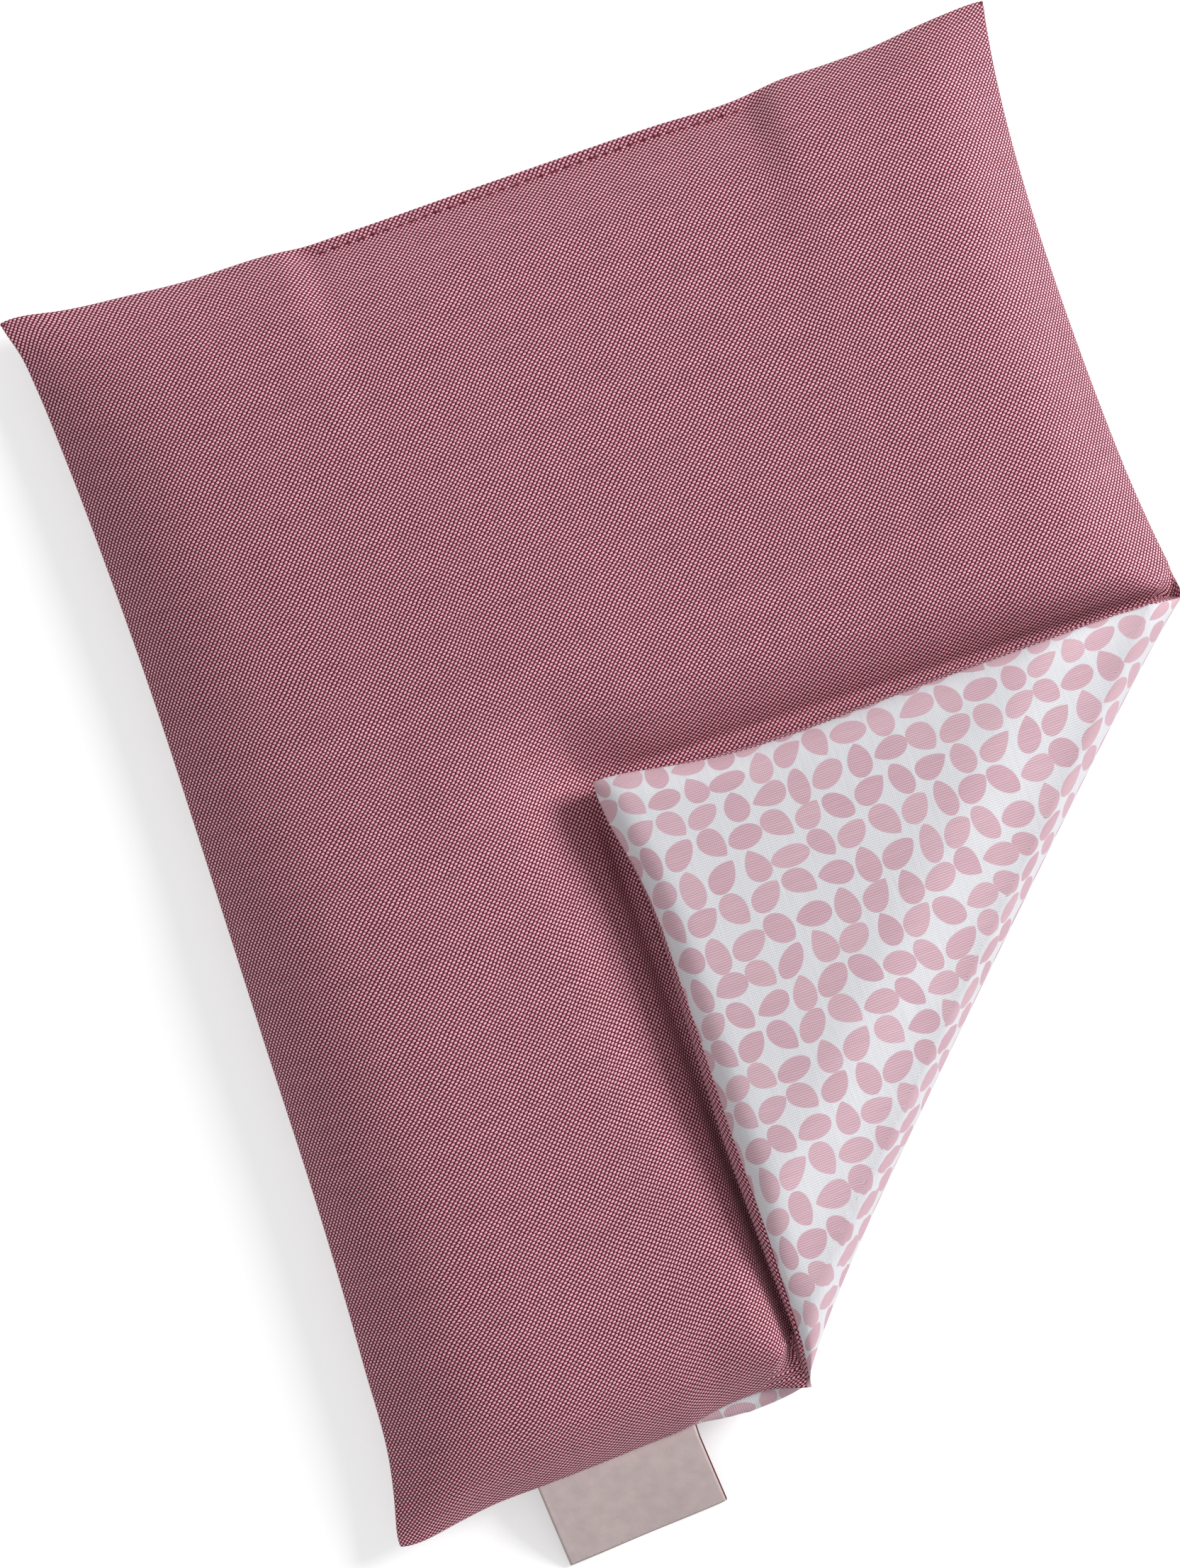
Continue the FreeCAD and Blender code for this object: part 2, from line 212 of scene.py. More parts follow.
def insides(x, y, hem=0.0):
    """Distances inside the left, right, bottom and top seams, nought on each seam
    right up to the corners."""
    x0 = x
    # a few rounds settle across and up on each other
    for _ in range(SETTLE_ROUNDS):
        low = through(BOTTOM_EDGE, x0) + hem * through(ROLLED_HEM, x0)
        high = through(TOP_EDGE, x0)
        y0 = LENGTH * (y - low) / (high - low) - HALF_LENGTH
        left, right = through(LEFT_EDGE, y0), through(RIGHT_EDGE, y0)
        x0 = WIDTH * (x - left) / (right - left) - HALF_WIDTH
    return x - left, right - x, y - low, high - y


def lip_share(x):
    """1 along the closed lip of the top edge, 0 beyond its ends."""
    start, end = (ramp(x, at - LIP_EASE, at + LIP_EASE) for at in LIP_ENDS)
    return start - end


def seam_height(x, y):
    return SEAM_HEIGHT + (FOLD_SEAM_HEIGHT - SEAM_HEIGHT) * ramp(
        across(x, y)[1], FOLD_SEAM_START, SPLIT)


def ridges(x, y):
    """Soft ridges that the folded corner pulls into the front."""
    z = 0
    for x0, y0, x1, y1, height, width in SOFT_RIDGES:
        dx, dy = x1 - x0, y1 - y0
        t = np.clip(((x - x0) * dx + (y - y0) * dy) / (dx * dx + dy * dy), 0, 1)
        away = np.hypot(x - x0 - t * dx, y - y0 - t * dy)
        z = z + height * np.exp(-(away / width) ** 2)
    return z


def rounded(a, b):
    """How far the turned-out corners draw in, as the seam can't fill them."""
    dx = dy = 0
    for corner_a, corner_b, pull in CORNER_ROUNDING:
        near = pull * np.exp(-(abs(a - corner_a) + abs(b - corner_b)) / ROUNDING_REACH)
        dx = dx + (near if corner_a == 0 else -near)
        dy = dy + (near if corner_b == 0 else -near)
    return dx, dy


def lip_height(x, top):
    """What the closed lip and its two ends add to the front panel's height."""
    dent = LIP_DENT * np.exp(-((top - STITCH_ROW) / LIP_DENT_WIDTH) ** 2)
    z = lip_share(x) * ramp(top, *LIP_EDGE) * (LIP_LIFT - dent) * (
        1 - ramp(top, LIP_REACH, LIP_REACH + LIP_BACK))
    for end in LIP_ENDS:
        z = z - (PUCKER_DEPTH * np.exp(-((x - end) / PUCKER_WIDTH) ** 2)
                 * ramp(top, *PUCKER_START) * np.exp(-top / PUCKER_REACH))
        beside = end + (RIDGE_LEAN * top - RIDGE_PLACE) * np.sign(end)
        z = z + (RIDGE_HEIGHT * np.exp(-((x - beside) / RIDGE_WIDTH) ** 2)
                 * ramp(top, *RIDGE_START) * np.exp(-top / RIDGE_REACH))
    return z


def bed_height(x, y):
    """The bed under the folded corner, and the slope that climbs out of it."""
    away = outside_flap(x, y)
    under = np.clip(1 + away / BED_EDGE, 0, 1)
    side, low = (ramp(-y, *down) * ramp(-x, *left) for down, left in (BED_SIDE, BED_LOW))
    above = ramp(x, *BED_ABOVE)
    reach = (BED_REACH - SIDE_NEARER * side - LOW_NEARER * low
             - above * (TOP_NEARER + TOP_NEARER * ramp(x, *BED_RIGHT)))
    power = BED_POWER - SIDE_SOFTER * side - TOP_SOFTER * above
    climb = 1 - np.exp(-(np.maximum(away, 0) / reach) ** power)
    groove = (SIDE_GROOVE * side + TOP_GROOVE * above) * np.exp(
        -((away - GROOVE_OUT) / GROOVE_WIDTH) ** 2)
    return BED_HEIGHT + BED_LIFT * under ** BED_LIFT_POWER + BED_RISE * climb - groove


def front_height(x, y):
    """The front panel's height: from the seams up to the crown, and down to the bed."""
    left, right, bottom, top = insides(x, y, hem=1)
    rise = CROWN_RISE + CROWN_TILT[0] * x / HALF_WIDTH + CROWN_TILT[1] * y / HALF_LENGTH
    rise = rise - CROWN_SAG * ramp(-x, *SAG_LEFT) * ramp(y, *SAG_UP)
    share = (share_of_rise(LEFT_SLOPE, left) * share_of_rise(RIGHT_SLOPE, right)
             * share_of_rise(BOTTOM_SLOPE, bottom)
             * share_of_rise(TOP_SLOPE, np.maximum(top - LIP_REACH * lip_share(x), 0)))
    z = seam_height(x, y) + (rise + ridges(x, y)) * share + lip_height(x, top)
    # the lower of the two, with a soft join
    return -BED_EASE * np.log(np.exp(-z / BED_EASE)
                              + np.exp(-bed_height(x, y) / BED_EASE))


def tucked(inset):
    """The cloth's edge curls in to the stitches, which leaves a fine groove."""
    return (np.interp(inset, *np.array(EDGE_CURL).T)
            + np.maximum(inset - EDGE_CURL[-1][0], 0))


def tucked_in(a, length):
    """The same at both ends of a panel of this length."""
    return np.where(a < length / 2, tucked(a), length - tucked(length - a))


def panel_lines(length):
    """Places of the grid's lines along a panel, closer near its seams."""
    start = np.array(EDGE_STEPS, float)
    middle = np.linspace(start[-1], length - start[-1],
                         int(round((length - 2 * start[-1]) / PITCH)) + 1)
    return np.concatenate((start[:-1], middle, (length - start[::-1])[1:]))


def closer(lines, low, high):
    """The same lines, with finer ones between two places."""
    return np.concatenate((lines[lines < low - FINE_PITCH / 2],
                           np.arange(low, high, FINE_PITCH),
                           lines[lines > high + FINE_PITCH / 2]))


def panel_grid(across_lines, up_lines, place):
    """A grid with its lines at these places, each point put in place."""
    made = bmesh.new()
    bmesh.ops.create_grid(made, x_segments=len(across_lines) - 1,
                          y_segments=len(up_lines) - 1, size=1)
    points, cloth = place(*np.meshgrid(across_lines, up_lines))
    layer = made.loops.layers.uv.new("cloth")
    flat_points = points.reshape(-1, 3)
    flat_cloth = cloth.reshape(-1, 2) / CHART
    for vert in made.verts:
        vert.co = flat_points[vert.index] * MM
    for face in made.faces:
        for loop in face.loops:
            loop[layer].uv = flat_cloth[loop.vert.index]
    return made


def cut_at_crease(made):
    """Part the cloth along the crease and take away what lies beyond it."""
    spot = (*((HINGE + SPLIT * OUTWARDS) * MM), 0)
    bmesh.ops.bisect_plane(made, geom=made.verts[:] + made.edges[:] + made.faces[:],
                           dist=1e-7, plane_co=spot, plane_no=(*OUTWARDS, 0),
                           clear_outer=True)


def finish_cloth(made, name, levels=1, flip=False):
    """Turn the worked grid into an object of smooth-shaded, fine mesh."""
    if flip:
        bmesh.ops.reverse_faces(made, faces=made.faces[:])
    mesh = bpy.data.meshes.new(name)
    made.to_mesh(mesh)
    made.free()
    mesh.shade_smooth()
    piece = bpy.data.objects.new(name, mesh)
    bpy.context.scene.collection.objects.link(piece)
    if levels:
        finer = piece.modifiers.new("finer", "SUBSURF")
        finer.levels = finer.render_levels = levels
        finer.boundary_smooth = "PRESERVE_CORNERS"
        piece.data = bpy.data.meshes.new_from_object(
            piece.evaluated_get(bpy.context.evaluated_depsgraph_get()))
        piece.data.name = name
        piece.modifiers.clear()
    return piece


def cloth_lengths(points, axis):
    """Running length of the cloth along the grid's lines."""
    steps = np.linalg.norm(np.diff(points, axis=axis), axis=2)
    pad = [(0, 0), (0, 0)]
    pad[axis] = (1, 0)
    return np.pad(np.cumsum(steps, axis=axis), pad)


def shared(lengths, places, axis):
    """Neighbouring threads share the cloth's stretch, so no step stays in it."""
    near = (np.exp(-((places[:, None] - places[None, :]) / STRETCH_SHARED) ** 2)
            * np.gradient(places)[None, :])
    near /= near.sum(axis=1, keepdims=True)
    return near @ lengths if axis == 0 else lengths @ near.T


def panel_plan(a, b, hem=0.0):
    """Where the cloth a mm across and b mm up lies, and the edges on its line."""
    x0, y0 = a - HALF_WIDTH, b - HALF_LENGTH
    left, right = through(LEFT_EDGE, y0), through(RIGHT_EDGE, y0)
    low = through(BOTTOM_EDGE, x0) + hem * through(ROLLED_HEM, x0)
    high = through(TOP_EDGE, x0)
    x = a + left + (right - left - WIDTH) * a / WIDTH
    y = b + low + (high - low - LENGTH) * b / LENGTH
    return x, y, (left, right, low, high)


def at_edges(x, y, a, b):
    """The same place, curled in at the seams and rounded at the corners."""
    in_x, in_y = rounded(a, b)
    return x + tucked_in(a, WIDTH) - a + in_x, y + tucked_in(b, LENGTH) - b + in_y


def front_place(a, b):
    """The front panel's points, and their places in the flat cloth."""
    x, y, _ = panel_plan(a, b, hem=1)
    z = front_height(x, y)
    x, y = at_edges(x, y, a, b)
    points = np.dstack((x, y, z))
    u, v = cloth_lengths(points, 1), cloth_lengths(points, 0)
    u *= CUT_WIDTH / u[:, -1:]
    v *= CUT_LENGTH / v[-1:, :]
    u, v = shared(u, b[:, 0], 0), shared(v, a[0], 1)
    return points, np.dstack((u, v))


front_grid = panel_grid(closer(panel_lines(WIDTH), *FINE_ACROSS),
                        closer(panel_lines(LENGTH), *FINE_UP), front_place)
cut_at_crease(front_grid)
front_cover = finish_cloth(front_grid, "front_cover")


def node_group(name, ins, outs):
    """A shader node group with these sockets, and its two end nodes."""
    group = bpy.data.node_groups.new(name, "ShaderNodeTree")
    for label, kind, value in ins:
        socket = group.interface.new_socket(label, in_out="INPUT", socket_type=kind)
        if value is not None:
            socket.default_value = value
    for label, kind in outs:
        group.interface.new_socket(label, in_out="OUTPUT", socket_type=kind)
    return group, group.nodes.new("NodeGroupInput"), group.nodes.new("NodeGroupOutput")


def fed(tree, socket, value):
    """Link a socket to another one, or set it to a number, vector or colour."""
    if isinstance(value, bpy.types.NodeSocket):
        tree.links.new(value, socket)
    elif socket.type == "RGBA":
        socket.default_value = (*value[:3], 1)
    else:
        socket.default_value = value


def maths(tree, operation, *values):
    node = tree.nodes.new("ShaderNodeMath")
    node.operation = operation
    for socket, value in zip(node.inputs, values):
        fed(tree, socket, value)
    return node.outputs[0]


def vectors(tree, operation, *values, scale=None):
    node = tree.nodes.new("ShaderNodeVectorMath")
    node.operation = operation
    for socket, value in zip(node.inputs, values):
        fed(tree, socket, value)
    if scale is not None:
        fed(tree, node.inputs["Scale"], scale)
    return node.outputs[0]


def mixed(tree, factor, first, second, blend="MIX"):
    """Two colours mixed. The colour sockets of a Mix node are 6, 7 and, out, 2."""
    node = tree.nodes.new("ShaderNodeMix")
    node.data_type = "RGBA"
    node.blend_type = blend
    for index, value in ((0, factor), (6, first), (7, second)):
        fed(tree, node.inputs[index], value)
    return node.outputs[2]


def tinted(tree, colour, by):
    return mixed(tree, 1.0, colour, by, "MULTIPLY")


def in_mm(tree, place):
    """The two ways across a chart, in mm of cloth."""
    apart = tree.nodes.new("ShaderNodeSeparateXYZ")
    tree.links.new(place, apart.inputs[0])
    return [maths(tree, "MULTIPLY", out, CHART) for out in apart.outputs[:2]]


def sawtooth(tree, value):
    """1 down to 0 and back up to 1 over each whole number."""
    return maths(tree, "ABSOLUTE", maths(tree, "MULTIPLY_ADD", maths(tree, "FRACT", value),
                                         2.0, -1.0))


def noise(tree, vector, scale, detail, roughness=0.5, out="Fac"):
    node = tree.nodes.new("ShaderNodeTexNoise")
    node.inputs["Scale"].default_value = scale
    node.inputs["Detail"].default_value = detail
    node.inputs["Roughness"].default_value = roughness
    tree.links.new(vector, node.inputs["Vector"])
    return node.outputs[out]


def remap(tree, value, low, high, to_low=0.0, to_high=1.0, smooth=False):
    """A value's range from low to high, stretched to another range and held to it."""
    node = tree.nodes.new("ShaderNodeMapRange")
    if smooth:
        node.interpolation_type = "SMOOTHSTEP"
    tree.links.new(value, node.inputs["Value"])
    for label, number in (("From Min", low), ("From Max", high),
                          ("To Min", to_low), ("To Max", to_high)):
        node.inputs[label].default_value = number
    return node.outputs["Result"]


def linear(red, green, blue):
    """A colour as a dye card gives it, 0 to 255, in linear light."""
    shares = (part / 255 for part in (red, green, blue))
    return tuple(share / 12.92 if share <= 0.0404 else ((share + 0.055) / 1.055) ** 2.4
                 for share in shares)


WEAVE_PITCH = 0.455  # 22 threads to the centimetre
THREAD_WANDER, THREAD_WANDER_SCALE = 0.010, 9  # no thread runs quite straight
FLOAT_LEAN = 0.24
WEFT_OVAL, WARP_OVAL = (0.52, 0.88), (0.72, 1.45)  # how a float falls, along and across
WEFT_EDGE = (-0.02, 0.16)  # between a weft float and the warp beside it
ROW_GAP, HOLE_UP, HOLE_ACROSS = 5.0, 4.0, 2.0  # how narrow the gaps and holes are
HOLE_MORE, HOLE_LEAST = 0.75, 0.25
SLUB_STRETCH, SLUB_SCALE = 0.06, 1.1
THREAD_TONES = 0.35


def plain_weave_group():
    """Plain weave: which thread is on top, how high it stands, how it varies."""
    group, given, result = node_group(
        "plain_weave",
        (("Cloth", "NodeSocketVector", None),
         ("Weft Pitch", "NodeSocketFloat", WEAVE_PITCH),
         ("Warp Pitch", "NodeSocketFloat", WEAVE_PITCH),
         ("Slub", "NodeSocketFloat", 0.3)),
        (("Weft On Top", "NodeSocketFloat"), ("Height", "NodeSocketFloat"),
         ("Weft Tone", "NodeSocketFloat"), ("Warp Tone", "NodeSocketFloat"),
         ("Hole", "NodeSocketFloat"), ("Between Rows", "NodeSocketFloat")))
    tree, cloth = group, given.outputs["Cloth"]
    wander = noise(tree, cloth, THREAD_WANDER_SCALE, 3.0, out="Color")
    u, v = (maths(tree, "DIVIDE", way, given.outputs[pitch]) for way, pitch in zip(
        in_mm(tree, vectors(tree, "MULTIPLY_ADD", wander,
                            (THREAD_WANDER, THREAD_WANDER, 0), cloth)),
        ("Warp Pitch", "Weft Pitch")))
    # the twist of the yarn leans each float a little
    u = maths(tree, "SUBTRACT", u, maths(tree, "MULTIPLY_ADD", maths(tree, "FRACT", v),
                                         FLOAT_LEAN, -FLOAT_LEAN / 2))
    column, row = maths(tree, "FLOOR", u), maths(tree, "FLOOR", v)
    # from the middle of each thread, 0, to its sides, 1
    across_u, across_v = sawtooth(tree, u), sawtooth(tree, v)
    on_top = maths(tree, "FLOORED_MODULO", maths(tree, "ADD", column, row), 2.0)
    # each float is a long oval whose ends dive under the crossing threads
    off_top = maths(tree, "SUBTRACT", 1.0, on_top)
    ovals = []
    for run, side, up, down, (length, width) in (
            (across_u, across_v, on_top, off_top, WEFT_OVAL),
            (across_v, across_u, off_top, on_top, WARP_OVAL)):
        reach = maths(tree, "ADD", maths(tree, "MULTIPLY", run, up),
                      maths(tree, "MULTIPLY", maths(tree, "SUBTRACT", 2.0, run), down))
        long_fall = maths(tree, "MULTIPLY", maths(tree, "MULTIPLY", reach, reach), length)
        side_fall = maths(tree, "MULTIPLY", maths(tree, "MULTIPLY", side, side), width)
        ovals.append(maths(tree, "SUBTRACT", 1.0, maths(tree, "ADD", long_fall, side_fall)))
    weft_shown, warp_shown = (maths(tree, "MAXIMUM", oval, 0.0) for oval in ovals)
    over_warp = maths(tree, "SUBTRACT", ovals[0], warp_shown)
    found = {"Height": maths(tree, "MAXIMUM", weft_shown, warp_shown),
             "Weft On Top": remap(tree, over_warp, *WEFT_EDGE),
             "Between Rows": maths(tree, "POWER", across_v, ROW_GAP)}
    # each thread has a tone of its own, and thick and thin stretches along it
    for label, place, stretch in (("Weft Tone", row, (SLUB_STRETCH, 1.0)),
                                  ("Warp Tone", column, (1.0, SLUB_STRETCH))):
        chance = tree.nodes.new("ShaderNodeTexWhiteNoise")
        chance.noise_dimensions = "1D"
        tree.links.new(place, chance.inputs["W"])
        thick = tree.nodes.new("ShaderNodeCombineXYZ")
        tree.links.new(maths(tree, "MULTIPLY", u, stretch[0]), thick.inputs[0])
        tree.links.new(maths(tree, "MULTIPLY", v, stretch[1]), thick.inputs[1])
        slub = noise(tree, thick.outputs[0], SLUB_SCALE, 2.0, 0.6)
        tone = maths(tree, "ADD",
                     maths(tree, "MULTIPLY_ADD", chance.outputs["Value"],
                           THREAD_TONES, -THREAD_TONES / 2),
                     maths(tree, "MULTIPLY_ADD", slub, 2.0, -1.0))
        found[label] = maths(tree, "MULTIPLY_ADD", tone, given.outputs["Slub"], 1.0)
    # the small holes are where two rows meet, beside the weft's floats
    hole = maths(tree, "MULTIPLY", maths(tree, "POWER", across_v, HOLE_UP),
                 maths(tree, "POWER", across_u, HOLE_ACROSS))
    found["Hole"] = maths(tree, "MULTIPLY", hole, maths(
        tree, "MULTIPLY_ADD", on_top, HOLE_MORE, HOLE_LEAST))
    for label, value in found.items():
        tree.links.new(value, result.inputs[label])
    return group


plain_weave = plain_weave_group()


def cloth_material(name):
    """A plain material, and the chart of its cloth to lay a pattern out on."""
    material = bpy.data.materials.new(name)
    material.use_nodes = True
    tree = material.node_tree
    tree.nodes.clear()
    output = tree.nodes.new("ShaderNodeOutputMaterial")
    shader = tree.nodes.new("ShaderNodeBsdfPrincipled")
    tree.links.new(shader.outputs[0], output.inputs[0])
    chart = tree.nodes.new("ShaderNodeUVMap")
    chart.uv_map = "cloth"
    return material, tree, shader, chart.outputs[0]


def pattern(tree, group, chart, **values):
    """The outputs of a pattern group, laid out on a chart, with these settings."""
    node = tree.nodes.new("ShaderNodeGroup")
    node.node_tree = group
    tree.links.new(chart, node.inputs[0])
    for label, value in values.items():
        node.inputs[label.replace("_", " ")].default_value = value
    return node.outputs


def raised(tree, shader, height, strength, distance):
    """Let the threads stand up from the cloth by this distance, in mm."""
    bump = tree.nodes.new("ShaderNodeBump")
    bump.inputs["Strength"].default_value = strength
    bump.inputs["Distance"].default_value = distance * MM
    tree.links.new(height, bump.inputs["Height"])
    tree.links.new(bump.outputs[0], shader.inputs["Normal"])


WINE = linear(120, 12, 44)
PALE_PINK = linear(252, 187, 203)
FLECK_RED = linear(176, 10, 44)
FLECKS, FLECK_SIZE = 2.4, (0.010, 0.006)  # of red fibre, along 100 mm of cloth
MELANGE_SLUB = 0.3
WARP_IN_WEFT = 0.4  # how much the tone of the warp shows in the weft
MELANGE_SHADE = (0.0, 0.75, 0.22, 1.18)  # painted shade where a thread dives, up to a painted highlight on its crown
THREAD_RISE = 0.12

melange, tree, shader, chart = cloth_material("melange_cotton")
threads = pattern(tree, plain_weave, chart, Slub=MELANGE_SLUB)
weft = tinted(tree, PALE_PINK, threads["Weft Tone"])
weft = mixed(tree, WARP_IN_WEFT, weft, threads["Warp Tone"], "MULTIPLY")
warp = tinted(tree, WINE, threads["Warp Tone"])
cloth = mixed(tree, threads["Weft On Top"], warp, weft)
# painted shade between the threads and painted highlight on their crowns, by each thread's
# height
cloth = tinted(tree, cloth, remap(tree, threads["Height"], *MELANGE_SHADE))
fleck = tree.nodes.new("ShaderNodeTexVoronoi")
fleck.inputs["Scale"].default_value = FLECKS
tree.links.new(chart, fleck.inputs["Vector"])
cloth = mixed(tree, remap(tree, fleck.outputs["Distance"], *FLECK_SIZE), cloth, FLECK_RED)
tree.links.new(cloth, shader.inputs["Base Color"])
shader.inputs["Roughness"].default_value = 0.82
shader.inputs["Specular IOR Level"].default_value = 0.25
shader.inputs["Sheen Weight"].default_value = 0.12
shader.inputs["Sheen Roughness"].default_value = 0.4
raised(tree, shader, threads["Height"], 0.55, THREAD_RISE)

front_cover.data.materials.append(melange)
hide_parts("front_panel", "seed_filling")
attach(front_cover, "pillow")


# ---- Back panel: printed cotton, white with scattered dusty pink seed shapes, the
# same cut as the front panel. It lies flat on the table and turns up to the seam;
# near the fold its edge has rolled out past the seam.
BASE_TURN = 10.0  # how far in from a seam it comes down to the table
SEAM_PINCH = 0.9  # the seam holds the two cloths together over about this much
TABLE_GAP = 0.02
LIP_PRESSED, PRESSED_BACK = 0.5, (2, 8)  # the lip's back, and where that is lost again
HEM_ROLL = 1.4  # cloth in the turn of the rolled hem
HEM_FULL = 2.2  # a hem this wide is rolled all the way
HEM_CURVE, HEM_FALL = 1.3, 1.5  # how its turn goes out, and down
HEM_DROP = 2  # from the seam to the middle of that turn
HEM_PULL, HEM_BACK = (2, 20), (4, 25)  # behind it the cloth comes back to its place
SEAM_SPREAD = ((0, 2, 5, 10), (2.9, 1.5, 0.5, 0))  # cloth that stands up at a seam


def back_height(x, y):
    """The back panel's height: flat on the table, and round up to the seams."""
    share = 1
    left, right, bottom, top = insides(x, y)
    for inside in (left, right, bottom, top - LIP_REACH * lip_share(x)):
        inside = np.maximum(inside, 0)
        turn = 1 - np.clip(inside ** 2 / (inside + SEAM_PINCH) / BASE_TURN, 0, 1)
        share = share * np.sqrt(1 - turn * turn)
    pressed = (LIP_PRESSED * lip_share(x) * ramp(top, *LIP_EDGE)
               * (1 - ramp(top, *PRESSED_BACK)))
    return (seam_height(x, y) - pressed) * (1 - share) + TABLE_GAP


def back_place(a, b):
    """The back panel's points, and their places in the cloth."""
    x, y, (left, right, low, high) = panel_plan(a, b)
    # the hem rolls out from the seam, down and under
    hem = through(ROLLED_HEM, a - HALF_WIDTH)
    rolls = ramp(hem, 0, HEM_FULL)
    over = np.clip(b / HEM_ROLL, 0, 1)
    y = y - rolls * np.minimum(b, HEM_ROLL) * (1 - ramp(b, *HEM_PULL))
    z = back_height(x, np.maximum(y, through(BOTTOM_EDGE, x)))
    y = y + hem * (1 - over) ** HEM_CURVE
    seam = seam_height(x, y)
    in_turn = (1 - rolls) * z + rolls * (seam - HEM_DROP * over ** HEM_FALL)
    behind = z - HEM_DROP * rolls * (1 - ramp(b, *HEM_BACK)) * z / seam
    z = np.where(b < HEM_ROLL, in_turn, behind)
    x, y = at_edges(x, y, a, b)
    spread = [np.interp(inside, *SEAM_SPREAD) for inside in
              (x - left, right - x, y - low, high - y)]
    u = WIDTH * (x - left) / (right - left) + spread[1] - spread[0]
    v = LENGTH * (y - low) / (high - low) + spread[3] - spread[2]
    return (np.dstack((x, y, np.maximum(z, TABLE_GAP))),
            np.dstack((u - HALF_WIDTH, v - HALF_LENGTH)))


back_grid = panel_grid(panel_lines(WIDTH), panel_lines(LENGTH), back_place)
cut_at_crease(back_grid)
back_cover = finish_cloth(back_grid, "back_cover", flip=True)

PRINT_WHITE = linear(240, 241, 246)
PETAL_PINKS = linear(226, 187, 199), linear(234, 197, 208)
# painted shade for the gaps between rows of thread and for the small holes
ROW_SHADOW = linear(156, 112, 132)
HOLE_SHADOW = linear(104, 66, 92)
PRINT_WEFT, PRINT_WARP, PRINT_SLUB = 0.42, 0.338, 0.10  # a closer, smoother weave
# painted shade where the print's threads dive
PRINT_SHADE = (0.0, 0.34, 0.9, 1.0)
ROWS_SHOWN, HOLES_SHOWN = (0.1, 1.0, 0.0, 0.66), (0.12, 0.7, 0.0, 0.95)
PRINTED_MORE, PLAIN_SHOWN = 0.6, 0.4  # they show less where nothing is printed
PRINT_RISE = 0.1
PETAL_SPACING = 5.9
PETAL_HALVES = (0.552, 0.39)  # of its length and width, in spacings
PETAL_TURN, PETAL_SWING = 0.35, 0.9  # radians
PETAL_JITTER = 0.07
PETAL_DRIFT_SCALE = 0.21
PETAL_SHARP, PETAL_SHARPER, PETAL_ROUND = 0.52, 0.38, 0.5  # its two ends
PETAL_EDGE = (0.0, 0.12)  # of the print, a little soft
PETAL_DRAW = (3.7, 9.2, 5.1)  # where its chances are drawn
HALF_ROOT = math.sqrt(0.5)


def turned(tree, place, angle):
    node = tree.nodes.new("ShaderNodeVectorRotate")
    node.rotation_type = "Z_AXIS"
    fed(tree, node.inputs["Vector"], place)
    fed(tree, node.inputs["Angle"], angle)
    return node.outputs[0]


